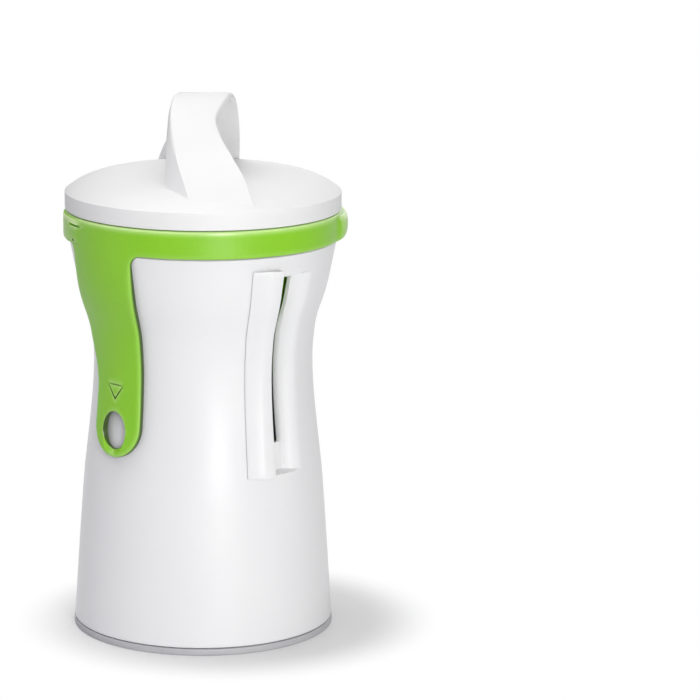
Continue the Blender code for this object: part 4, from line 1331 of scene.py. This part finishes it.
@dataclass
class Grip:
    """Swirl arch across the lid: a half from its top to the front foot, and the same turned."""

    top: float
    edge: float = 0.8 * MM
    slope_gain: float = 1.25
    slope_limit: float = 1.0
    # Crown of the strip and the reach where it is full, in millimetres
    crown: float = 0.3
    crown_reach: float = 3.0
    # In millimetres: left x, right x, reach forward left and right, fall left and right, thickness,
    # inner left x
    stations: tuple[tuple[float, ...], ...] = (
        (-8.8, 8.8, 0.0, 0.0, 0.0, 0.0, 2.6, -8.8),
        (-9.9, 8.2, 3.5, 3.0, 0.6, 0.5, 2.6, -10.0),
        (-10.7, 6.6, 7.5, 7.0, 2.7, 2.2, 2.6, -11.2),
        (-10.9, 4.2, 13.0, 13.5, 6.2, 6.2, 2.8, -11.9),
        (-10.2, 5.6, 20.5, 22.5, 12.2, 10.8, 3.6, -12.5),
        (-8.6, 9.3, 28.5, 32.0, 18.4, 16.1, 4.8, -12.7),
        (-6.4, 13.4, 36.0, 38.0, 24.4, 22.6, 6.2, -12.6),
        (-4.4, 16.2, 41.2, 40.6, 30.0, 29.8, 7.2, -12.3),
        (-3.0, 18.4, 45.4, 41.4, 33.4, 33.4, 7.8, -11.8))
    steps: int = 5

    def eased(self) -> list[list[float]]:
        """Values of the stations, made dense along a smooth curve that is level across the top."""
        first = self.stations[1]
        mirror = (-first[1], -first[0], -first[3], -first[2],
                  first[5], first[4], first[6], -first[1])
        rows = [mirror] + list(self.stations)
        last, before = rows[-1], rows[-2]
        rows.append(tuple(2.0 * a - b for a, b in zip(last, before)))
        dense = []
        for p0, p1, p2, p3 in zip(rows, rows[1:], rows[2:], rows[3:]):
            for step in range(self.steps):
                t = step / self.steps
                dense.append([0.5 * (2.0 * b + (c - a) * t
                                     + (2.0 * a - 5.0 * b + 4.0 * c - d) * t * t
                                     + (3.0 * b - a - 3.0 * c + d) * t ** 3)
                              for a, b, c, d in zip(p0, p1, p2, p3)])
        dense.append(list(last))
        return dense

    def half(self) -> list[list[Vector]]:
        """Sections from the top to the front foot."""
        sections = []
        for station in self.eased():
            left, right, left_reach, right_reach, left_fall, right_fall, thick, inner_left = station
            slope = min(math.atan2(left_fall, left_reach) * self.slope_gain, self.slope_limit)
            back, down = thick * math.sin(slope), thick * math.cos(slope)
            middle_reach = 0.5 * (left_reach + right_reach)
            middle_fall = 0.5 * (left_fall + right_fall)
            crown = self.crown * min(1.0, middle_reach / self.crown_reach)
            points = [(left, -left_reach, -left_fall),
                      (0.5 * (left + right), -middle_reach - crown, -middle_fall),
                      (right, -right_reach, -right_fall),
                      (right + crown, -right_reach + back, -right_fall - down),
                      (0.5 * (inner_left + right), -middle_reach + back, -middle_fall - down),
                      (inner_left, -left_reach + back, -left_fall - down)]
            sections.append([Vector((x * MM, y * MM, self.top + z * MM)) for x, y, z in points])
        return sections

    def solid(self) -> bpy.types.Object:
        """Return the arch as a closed solid with rounded edges."""
        front = self.half()
        rear = []
        for section in reversed(front[1:]):
            turned_points = [Vector((-point.x, -point.y, point.z)) for point in section]
            rear.append([turned_points[index] for index in (2, 1, 0, 5, 4, 3)])
        return round_edges(loft("swirl_grip", rear + front), self.edge, 3, 40.0)


@dataclass
class Lid:
    """White lid: dome with the swirl grip, skirt, screw bosses and the guide ring below."""

    rim_height: float = 5.8 * MM
    rim_start: float = 1.2 * MM
    crown: float = 6.5 * MM
    exponent: float = 6.0
    wall: float = 2.2 * MM
    skirt_radius: float = 40.3 * MM
    skirt_wall: float = 2.1 * MM
    edge: float = 0.5 * MM
    # Vault of the hollow: shares of the skirt's inner radius and of the crown
    vault: Profile = ((0.97, 0.35), (0.85, 0.55))
    # The hollow is turned a little so that none of its points meets an edge of the dome
    hollow_turn: float = 0.7
    boss_radius: float = 3.6 * MM
    guide_lip: float = 2.0 * MM
    guide_wall: float = 1.0 * MM
    guide_ledge: float = 1.3 * MM
    guide_step: float = 0.35 * MM
    guide_round: float = 0.25 * MM

    def __post_init__(self) -> None:
        """Read the lid's size from the frame."""
        self.box = Extent.of("lid")
        self.plate = Extent.of("holder_plate")
        self.low = Extent.of("guide_ring").high.z + GAP
        self.radius = self.box.radius

    def dome(self, radius: float) -> float:
        """Height of the outer face at a radius."""
        reach = min(radius / self.radius, 1.0)
        return self.low + self.rim_height + self.crown * (1.0 - reach ** self.exponent)

    def build_shell(self) -> bpy.types.Object:
        """Build the dome with its hollow and skirt."""
        skirt_low = self.plate.high.z + GAP
        skirt_inner = self.skirt_radius - self.skirt_wall
        soft = self.edge
        profile = [(0.0, skirt_low), (self.skirt_radius - soft, skirt_low),
                   (self.skirt_radius, skirt_low + soft), (self.skirt_radius, self.low),
                   (self.radius - soft, self.low)]
        for angle in map(math.radians, (30.0, 60.0, 90.0)):
            profile.append((self.radius - soft * (1.0 - math.sin(angle)),
                            self.low + soft * (1.0 - math.cos(angle))))
        ceiling = self.low + self.rim_height
        profile += [(self.radius, z) for z in spread(self.low + self.rim_start, ceiling, 4)]
        for share in (0.997, 0.99, 0.98, *spread(0.965, 0.1, 28), 0.0):
            profile.append((self.radius * share, self.dome(self.radius * share)))
        lid = turned("lid_cap", profile, 180)
        hollow = [(0.0, skirt_low - MM), (skirt_inner, skirt_low - MM), (skirt_inner, ceiling)]
        hollow += [(across * skirt_inner, ceiling + up * self.crown) for across, up in self.vault]
        cavity = turned("lid_hollow", hollow + [(0.0, self.dome(0.0) - self.wall)], 96)
        cavity.data.transform(Matrix.Rotation(math.radians(self.hollow_turn), 4, "Z"))
        combine(lid, cavity, "DIFFERENCE")
        boss_top = ceiling + self.crown - 0.5 * self.wall
        hole_top = Extent.of("plate_screw_1").high.z + 2.0 * GAP
        for x, y, _ in PLATE_SCREWS:
            boss = prism("screw_boss", disc(x, y, self.boss_radius), skirt_low, boss_top)
            combine(lid, boss, "UNION")
            outline = disc(x, y, PLATE_SCREW_RADIUS + GAP)
            combine(lid, prism("boss_hole", outline, skirt_low - MM, hole_top), "DIFFERENCE")
        return lid

    def build_guide(self) -> None:
        """Build the stepped guide ring under the lid's flange."""
        box = Extent.of("guide_ring")
        low, high, outer = box.low.z, box.high.z, box.radius
        middle, ledge, step = 0.5 * (low + high), high - self.guide_ledge, self.guide_step
        lip, wall = outer - self.guide_lip, outer - self.guide_wall
        profile = [(outer - step, low), (outer - step, middle), (outer, middle + step),
                   (outer, high), (lip, high), (lip, ledge), (wall, ledge), (wall, low)]
        ring = swept_ring("lid_guide_ring", rounded(profile, self.guide_round, 2), LID_WHITE)
        dress(ring, LID_WHITE, Body.CARRIER, ["guide_ring"])

    def build(self) -> None:
        """Build the lid and its guide ring."""
        lid = self.build_shell()
        combine(lid, Grip(self.box.high.z).solid(), "UNION")
        dress(lid, LID_WHITE, Body.LID, ["lid"], 32.0)
        self.build_guide()


# Cross in a screw's head: reach, half its width and depth, as shares of the head's radius
CROSS = (0.6, 0.13, 0.35)


def cross_head(screw: bpy.types.Object, face: float, head: float, side: float) -> bpy.types.Object:
    """Cut a cross into a screw's head.

    Args:
        screw: the screw, on the axis.
        face: height of the head's outer face.
        head: radius of the head.
        side: 1 if the screw lies above its face, -1 if below.

    Returns:
        The screw.
    """
    arm, half, depth = (share * head for share in CROSS)
    low, high = sorted((face - side * MM, face + side * depth))
    quarter = ((half, half), (arm, half), (arm, -half))
    turns = ((1.0, 0.0), (0.0, -1.0), (-1.0, 0.0), (0.0, 1.0))
    outline = [(cos * x - sin * y, sin * x + cos * y) for cos, sin in turns for x, y in quarter]
    return combine(screw, prism("cross_cut", outline, low, high), "DIFFERENCE")


@dataclass
class Holder:
    """Plate under the lid with its ribs and screws, the ring of prongs and the spike."""

    edge: float = 0.3 * MM
    # The holes' outlines are turned so that none of their points meets an edge of the plate
    hole_turn: float = 4.0
    # Ribs: (inner reach, outer reach, width), and the azimuth of the first one
    rib: Triple = (18.0 * MM, 36.0 * MM, 0.8 * MM)
    rib_azimuth: float = 15.0
    rib_depth: float = 0.7 * MM
    rib_round: float = 0.2 * MM
    rib_count: int = 12
    # Raised ring: (distance from the hub's radius, share of the ribs' depth)
    hub: float = 17.6 * MM
    hub_steps: Profile = ((-MM, 0.0), (-0.8 * MM, 1.0), (0.2 * MM, 1.0), (0.4 * MM, 0.0))
    prong_circle: float = 14.0 * MM
    prong_count: int = 8
    prong_head: float = 1.7 * MM
    pin_head_edge: float = 0.25 * MM
    # Shape of a pin's point: (share of its radius, radii above its end)
    pin_point: Profile = ((0.12, 0.15), (0.62, 1.7), (0.94, 2.8), (1.0, 3.2))
    screw_head: Range = (2.4 * MM, 1.3 * MM)
    # Its head: (share of the radius, share of the height), from the outer face to the shaft
    screw_head_shape: Profile = ((0.0, 1.0), (0.6, 1.0), (0.88, 0.78), (1.0, 0.4), (1.0, 0.0))
    # Its thread: (start above the head, pitch, depth, rise from root to crest), and its turns
    thread: tuple[float, ...] = (0.3 * MM, 0.42 * MM, 0.25 * MM, 0.2 * MM)
    thread_turns: int = 14

    def __post_init__(self) -> None:
        """Read the plate's place from the frame."""
        self.plate = Extent.of("holder_plate")

    def build_plate(self) -> None:
        """Build the plate with its holes, a raised ring and radial ribs on its underside."""
        low, high, radius = self.plate.low.z, self.plate.high.z, self.plate.radius
        soft, drop = self.edge, self.rib_depth
        hub = [(self.hub + step, low - share * drop) for step, share in self.hub_steps]
        rim = [(radius - soft, low), (radius, low + soft),
               (radius, high - soft), (radius - soft, high)]
        plate = turned("holder_plate_disc", [(0.0, low), *hub, *rim, (0.0, high)])
        prongs = [polar(360.0 * index / self.prong_count, self.prong_circle, 0.0)
                  for index in range(self.prong_count)]
        holes = [(place, PLATE_SCREW_RADIUS) for place in PLATE_SCREWS]
        holes += [(place, PRONG_RADIUS) for place in prongs]
        holes.append((Vector((0.0, 0.0, 0.0)), SPIKE_RADIUS))
        turn = Matrix.Rotation(math.radians(self.hole_turn), 4, "Z")
        for place, size in holes:
            hole = prism("plate_hole", disc(0.0, 0.0, size + GAP, 24), low - 2.0 * MM, high + MM,
                         Matrix.Translation(place) @ turn)
            combine(plate, hole, "DIFFERENCE")
        inner, outer, width = self.rib
        turn = Matrix.Rotation(math.radians(self.rib_azimuth), 4, "Z")
        rib = block("plate_rib", (-0.5 * width, 0.5 * width), (-outer, -inner + MM),
                    (low - drop, low + 0.2 * MM), turn)
        rib = round_edges(rib, self.rib_round, 2)
        ribs = RingTree().run(rib, LID_WHITE, {"Count": self.rib_count})
        combine(plate, ribs, "UNION")
        dress(plate, LID_WHITE, Body.LID, ["holder_plate"])

    def build_screws(self) -> None:
        """Build the three cross-headed screws of the plate."""
        radius, height = self.screw_head
        top = Extent.of("plate_screw_1").high.z
        head = self.plate.low.z - GAP
        start, pitch, depth, crest = self.thread
        thread = []
        for step in range(self.thread_turns):
            z = head + start + step * pitch
            thread += [(PLATE_SCREW_RADIUS - depth, z), (PLATE_SCREW_RADIUS, z + crest)]
        profile = [(share * radius, head - drop * height) for share, drop in self.screw_head_shape]
        profile.append((PLATE_SCREW_RADIUS, head))
        profile += [point for point in thread if point[1] < top - crest]
        profile += [(0.5 * PLATE_SCREW_RADIUS, top), (0.0, top)]
        screw = cross_head(turned("plate_screw", profile, 40), head - height, radius, 1.0)
        screw.data.transform(Matrix.Translation(PLATE_SCREWS[0]))
        ring = RingTree().run(screw, SCREW_STEEL, {"Count": len(PLATE_SCREWS)})
        ring.name = "plate_screws"
        nodes = [f"plate_screw_{index + 1}" for index in range(len(PLATE_SCREWS))]
        dress(ring, SCREW_STEEL, Body.LID, nodes)

    def pin(self, name: str, node: str, radius: float, head: float) -> bpy.types.Object:
        """Headed pin on the axis, ground to a point at its lower end."""
        box = Extent.of(node)
        low, high = box.low.z, box.high.z
        head_low, soft = self.plate.high.z + GAP, self.pin_head_edge
        point = [(share * radius, low + rise * radius) for share, rise in self.pin_point]
        cap = [(radius, head_low), (head, head_low), (head, high - soft), (head - soft, high)]
        return turned(name, [(0.0, low), *point, *cap, (0.0, high)], 36)

    def build_prongs(self) -> None:
        """Build the ring of prongs and the spike."""
        prong = self.pin("prong", "prong_1", PRONG_RADIUS, self.prong_head)
        prong.data.transform(Matrix.Translation(polar(0.0, self.prong_circle, 0.0)))
        ring = RingTree().run(prong, PRONG_STEEL, {"Count": self.prong_count})
        ring.name = "prong_ring"
        nodes = [f"prong_{index + 1}" for index in range(self.prong_count)]
        dress(ring, PRONG_STEEL, Body.LID, nodes)
        spike = self.pin("spike", "centre_spike", SPIKE_RADIUS, Extent.of("centre_spike").radius)
        dress(spike, PRONG_STEEL, Body.LID, ["centre_spike"])

    def build(self) -> None:
        """Build everything that hangs under the lid."""
        self.build_plate()
        self.build_screws()
        self.build_prongs()


@dataclass
class Drum:
    """Green cone that hangs in the collar, with three blades, two combs and six screws."""

    tip_radius: float = 11.0 * MM
    tip_length: float = 5.0 * MM
    throat_drop: float = 5.5 * MM
    throat_radius: float = 35.2 * MM
    neck_radius: float = 39.6 * MM
    neck_wall: float = 3.0 * MM
    # Step from the cone out to the neck: rise as a share of its width, and a land
    neck_slope: float = 0.4
    neck_land: float = 0.5 * MM
    funnel: float = 2.7 * MM
    flange: float = 1.5 * MM
    wall: float = 1.9 * MM
    blade_azimuth: float = 32.0
    blade_step: float = 90.0
    blade_drop: float = 49.0 * MM
    edge: float = 0.35 * MM
    # Blade: (width, length, thickness)
    blade_size: Triple = (9.0 * MM, 54.0 * MM, 0.6 * MM)
    blade_tilt: float = 25.0
    blade_sink: float = 0.6 * MM
    blade_throat: float = 3.2 * MM
    side_gap: float = 1.2 * MM
    # Ground edge: where it starts, then (distance from the cutting edge, thickness)
    grind: float = 1.9 * MM
    grind_steps: Profile = ((0.5 * MM, 0.24 * MM), (0.0, 0.06 * MM))
    # Ends of the blade: (share of its length, inset of its back)
    blade_ends: Profile = ((-0.5, 0.5 * MM), (-0.49, 0.0), (0.49, 0.0), (0.5, 0.5 * MM))
    slot_reach: float = 5.0 * MM
    pad_depth: float = 2.2 * MM
    pad_margin: float = 2.0 * MM
    # Screws: (across the blade, along it) and (shaft radius, head radius, head height, length)
    screw_place: Range = (2.7 * MM, 23.0 * MM)
    screw_size: tuple[float, ...] = (0.9 * MM, 1.7 * MM, 0.8 * MM, 1.3 * MM)
    # Their head: (share of the radius, share of the height), from the shaft to the outer face
    screw_head_shape: Profile = ((1.0, 0.0), (1.0, 0.45), (0.85, 0.8), (0.6, 1.0), (0.0, 1.0))
    # Comb: (top of the carrier, its root, reach of the teeth)
    comb: Triple = (2.0 * MM, 0.4 * MM, 1.8 * MM)
    tooth_width: float = 0.9 * MM

    def __post_init__(self) -> None:
        """Read the cone's place from the frame."""
        box = Extent.of("hopper")
        self.low, self.top, self.radius = box.low.z, box.high.z, box.radius
        self.cone_low = self.low + self.tip_length
        self.cone_top = self.top - self.throat_drop
        self.angle = math.atan2(self.throat_radius - self.tip_radius, self.cone_top - self.cone_low)

    def blade_frame(self, azimuth: float) -> Matrix:
        """Frame of a blade: x across it and outwards, y up the cone, z off its outer face."""
        height = self.top - self.flange - self.blade_drop
        share = (height - self.cone_low) / (self.cone_top - self.cone_low)
        radius = self.tip_radius + (self.throat_radius - self.tip_radius) * share + self.wall
        outward, across = polar(azimuth, 1.0, 0.0), polar(azimuth + 90.0, 1.0, 0.0)
        upward = outward * math.sin(self.angle) + Vector((0.0, 0.0, math.cos(self.angle)))
        normal = across.cross(upward)
        tilt = math.radians(self.blade_tilt)
        axes = (across * math.cos(tilt) + normal * math.sin(tilt), upward,
                normal * math.cos(tilt) - across * math.sin(tilt))
        place = polar(azimuth, radius, height) - normal * self.blade_sink
        return Matrix.Translation(place) @ Matrix(axes).transposed().to_4x4()

    def screw_holes(self, target: bpy.types.Object, depth: Range, place: Matrix) -> None:
        """Cut the two holes of a blade's screws."""
        x, reach = self.screw_place
        for y in (-reach, reach):
            hole = prism("screw_hole", disc(x, y, self.screw_size[0] + GAP, 24), *depth, place)
            combine(target, hole, "DIFFERENCE")

    def build_cone(self) -> None:
        """Build the cone with its flange, blade pads and oblique slots."""
        outer = self.wall / math.cos(self.angle)
        flange_low = self.top - self.flange
        step = self.neck_radius - self.throat_radius - outer
        neck_rise = self.neck_slope * step + self.neck_land
        soft = self.edge
        throat = self.neck_radius - self.neck_wall
        mouth = throat + self.funnel
        inside = [(self.tip_radius, self.low), (self.tip_radius, self.cone_low),
                  (self.throat_radius, self.cone_top), (throat, self.top - self.funnel)]
        lip = [(mouth - soft, self.top - soft), (mouth + soft, self.top)]
        tip, neck = self.tip_radius + outer, self.neck_radius
        outside = [(tip - soft, self.low), (tip, self.low + soft), (tip, self.cone_low),
                   (self.throat_radius + outer, self.cone_top), (neck, self.cone_top + neck_rise),
                   (neck, flange_low), (self.radius, flange_low), (self.radius, self.top - soft),
                   (self.radius - soft, self.top)]
        cone = turned("drum_cone", outside + (inside + lip)[::-1])
        width, length, _ = self.blade_size
        half, edge = 0.5 * length, 0.5 * width
        for index in range(len(BladeKind)):
            place = self.blade_frame(self.blade_azimuth + self.blade_step * index)
            pad = block("blade_pad", (-MM, edge), (-half - self.pad_margin, half + self.pad_margin),
                        (-self.pad_depth, -GAP), place)
            core = turned("drum_core", [(0.0, self.low)] + inside + [(0.0, self.top)])
            combine(cone, combine(pad, core, "DIFFERENCE"), "UNION")
            slot = block("blade_slot", (-edge - self.blade_throat, edge + self.side_gap),
                         (-half - GAP, half + GAP), (-GAP, self.slot_reach), place)
            combine(cone, slot, "DIFFERENCE")
            self.screw_holes(cone, (-self.screw_size[3] - 2.0 * GAP, MM), place)
        dress(cone, DRUM_GREEN, Body.SELECTOR, ["hopper"])

    def build_blade(self, kind: str, place: Matrix) -> None:
        """Build a blade with its ground edge."""
        width, length, thickness = self.blade_size
        edge = 0.5 * width
        outline = [(-edge, 0.0), (edge, 0.0), (edge, thickness), (self.grind - edge, thickness)]
        outline += [(x - edge, z) for x, z in self.grind_steps]
        sections = []
        for share, inset in self.blade_ends:
            sections.append([Vector((x if x < 0.0 else x - inset, share * length, z))
                             for x, z in outline])
        blade = loft(f"blade_{kind}_strip", sections, place)
        self.screw_holes(blade, (-MM, thickness + MM), place)
        dress(blade, BLADE_STEEL, Body.SELECTOR, [f"blade_{kind}"], 20.0)

    def build_comb(self, kind: str, pitch: float, place: Matrix) -> None:
        """Build the toothed strip in front of a blade from one tooth and its carrier."""
        width, length, thickness = self.blade_size
        top, root, reach = self.comb
        side = -0.5 * width - GAP
        count = int((length - 2.0 * self.tooth_width) / pitch)
        first = -0.5 * pitch * (count - 1)
        half = 0.5 * self.tooth_width
        faces = (side - thickness, side)
        carrier = block("comb_carrier", faces, (-0.5 * length, 0.5 * length), (root, top))
        flank = ((1.0, 0.2 * MM), (0.9, -0.3 * MM), (0.5, -reach))
        outline = [(-share * half, root + z) for share, z in flank]
        outline += [(share * half, root + z) for share, z in reversed(flank)]
        sections = [[Vector((x, first + y, z)) for y, z in outline] for x in faces]
        comb = RowTree().run(loft(f"comb_{kind}_teeth", sections), BLADE_STEEL,
                             {"Count": count, "Step": (0.0, pitch, 0.0), "Carrier": carrier})
        bpy.data.objects.remove(carrier)
        comb.data.transform(place)
        dress(comb, BLADE_STEEL, Body.SELECTOR, [f"comb_{kind}"], 20.0)

    def build_screws(self, kind: str, place: Matrix) -> None:
        """Build a blade's two screws."""
        radius, head, height, length = self.screw_size
        low = self.blade_size[2] + GAP
        shaft = [(0.0, -length), (0.6 * radius, -length), (radius, 0.4 * MM - length),
                 (radius, low)]
        cap = [(share * head, low + rise * height) for share, rise in self.screw_head_shape]
        profile = shaft + cap
        screw = cross_head(turned(f"screw_{kind}_pair", profile, 32), low + height, head, -1.0)
        x, reach = self.screw_place
        screw.data.transform(Matrix.Translation((x, -reach, 0.0)))
        pair = RowTree().run(screw, SCREW_STEEL, {"Count": 2, "Step": (0.0, 2.0 * reach, 0.0)})
        pair.data.transform(place)
        dress(pair, SCREW_STEEL, Body.SELECTOR, [f"screw_{kind}_lower", f"screw_{kind}_upper"])

    def build(self) -> None:
        """Build the drum and all that it carries."""
        self.build_cone()
        for index, kind in enumerate(BladeKind):
            name, pitch = kind.value
            place = self.blade_frame(self.blade_azimuth + self.blade_step * index)
            self.build_blade(name, place)
            self.build_screws(name, place)
            if pitch:
                self.build_comb(name, pitch, place)


@dataclass(frozen=True)
class Lamp:
    """Square soft lamp that faces a point."""

    name: str
    place: Triple
    size: float
    power: float
    colour: Colour = (1.0, 1.0, 1.0)
    aim: Triple = (0.0, 0.0, 0.09)

    def hang(self) -> None:
        """Add the lamp to the scene."""
        data = bpy.data.lights.new(self.name, "AREA")
        data.size = self.size
        data.energy = self.power
        data.color = self.colour
        lamp = bpy.data.objects.new(self.name, data)
        lamp.rotation_mode = "QUATERNION"
        lamp.rotation_quaternion = (Vector(self.aim) - Vector(self.place)).to_track_quat("-Z", "Y")
        lamp.location = self.place
        bpy.context.scene.collection.objects.link(lamp)


@dataclass
class Studio:
    """Camera at the photograph's angle, pale floor and soft light."""

    camera_place: Triple = (0.0, -1.12198, 0.33676)
    yaw: float = 2.526
    pitch: float = 12.2
    roll: float = 0.524
    lens: float = 174.857
    sensor: float = 36.0
    view_range: float = 50.0
    floor_size: float = 6.0
    floor_colour: Colour = (0.62, 0.62, 0.63)
    floor_roughness: float = 0.7
    # The floor fades to white between two distances from a point beside the foot
    fade_centre: Triple = (0.008, 0.0, 0.0)
    fade_range: Range = (0.047, 0.074)
    fade_least: float = 0.25
    floor_mirrored: float = 0.5
    sky_range: Range = (0.1, 0.9)
    sky_strength: Range = (0.03, 0.66)
    sky_mirrored: float = 0.12
    lamps: tuple[Lamp, ...] = (
        Lamp("key", (0.28, -1.03, 0.30), 0.34, 7.7, (1.0, 0.998, 0.99)),
        Lamp("top", (-0.26, 0.12, 1.08), 0.60, 4.2),
        Lamp("fill", (-0.95, -0.25, 0.25), 0.50, 0.35, (0.68, 0.60, 1.0)),
        Lamp("lift", (-0.75, 0.05, 0.85), 0.40, 0.9, aim=(0.0, 0.0, 0.17)),
        Lamp("back", (0.30, 0.95, 0.45), 0.80, 2.6))

    def place_camera(self) -> None:
        """Add the camera."""
        data = bpy.data.cameras.new("camera")
        data.lens = self.lens
        data.sensor_width = self.sensor
        data.clip_end = self.view_range
        camera = bpy.data.objects.new("camera", data)
        turn = Matrix.Rotation(math.radians(-self.yaw), 4, "Z")
        turn @= Matrix.Rotation(math.radians(90.0 - self.pitch), 4, "X")
        turn @= Matrix.Rotation(math.radians(self.roll), 4, "Z")
        camera.matrix_world = Matrix.Translation(self.camera_place) @ turn
        bpy.context.scene.collection.objects.link(camera)
        bpy.context.scene.camera = camera

    def lay_floor(self) -> None:
        """Add a white floor that keeps the object's shadow and melts into the backdrop."""
        half = 0.5 * self.floor_size
        corners = ((-half, -half), (half, -half), (half, half), (-half, half))
        shape = Shape("studio_floor")
        shape.face(*shape.row(Vector((x, y, 0.0)) for x, y in corners))
        floor = shape.piece()
        material = bpy.data.materials.new("studio_floor")
        material.use_nodes = True
        writer = TreeWriter(material.node_tree)
        nodes = material.node_tree.nodes
        shader = nodes["Principled BSDF"]
        writer.feed(shader, {"Base Color": (*self.floor_colour, 1.0),
                             "Roughness": self.floor_roughness})
        place = writer.add("ShaderNodeTexCoord").outputs["Object"]
        offset = writer.vector("SUBTRACT", place, self.fade_centre)[0]
        distance = writer.vector("LENGTH", offset)["Value"]
        fade = writer.ranged(distance, self.fade_range, (self.fade_least, 1.0), "SMOOTHSTEP")
        rays = writer.add("ShaderNodeLightPath").outputs
        mirrored = writer.math("MULTIPLY", rays["Is Glossy Ray"], self.floor_mirrored)
        seen = writer.math("MAXIMUM", rays["Is Camera Ray"], mirrored)
        white = writer.add("ShaderNodeEmission", {"Color": (1.0, 1.0, 1.0, 1.0), "Strength": 1.0})
        share = writer.math("MULTIPLY", fade, seen)
        blended = {0: share, 1: shader.outputs[0], 2: white.outputs[0]}
        mix = writer.add("ShaderNodeMixShader", blended)
        writer.feed(nodes["Material Output"], {0: mix.outputs[0]})
        floor.data.materials.append(material)

    def open_sky(self) -> None:
        """Add the world: white to the camera, brighter upwards for the object."""
        world = bpy.data.worlds.new("studio")
        bpy.context.scene.world = world
        world.use_nodes = True
        writer = TreeWriter(world.node_tree)
        rays = writer.add("ShaderNodeLightPath").outputs
        direction = writer.add("ShaderNodeTexCoord").outputs["Generated"]
        upward = writer.add("ShaderNodeSeparateXYZ", {0: direction}).outputs[2]
        sky = writer.ranged(upward, self.sky_range, self.sky_strength)
        glare = writer.math("MULTIPLY_ADD", rays["Is Glossy Ray"], self.sky_mirrored, sky)
        strength = writer.math("MAXIMUM", rays["Is Camera Ray"], glare)
        writer.feed(world.node_tree.nodes["Background"],
                    {"Color": (1.0, 1.0, 1.0, 1.0), "Strength": strength})

    def build(self) -> None:
        """Set up the studio."""
        self.place_camera()
        self.lay_floor()
        for lamp in self.lamps:
            lamp.hang()
        self.open_sky()
        bpy.context.scene.view_settings.view_transform = "Standard"


def main() -> None:
    """Build every sub-assembly and the studio."""
    logging.basicConfig(level=logging.INFO, format="%(name)s %(message)s")
    outline = Hourglass()
    Studio().build()
    Housing(outline).build()
    Collar(outline).build()
    Drum().build()
    Lid().build()
    Holder().build()


if __name__ == "__main__":
    main()
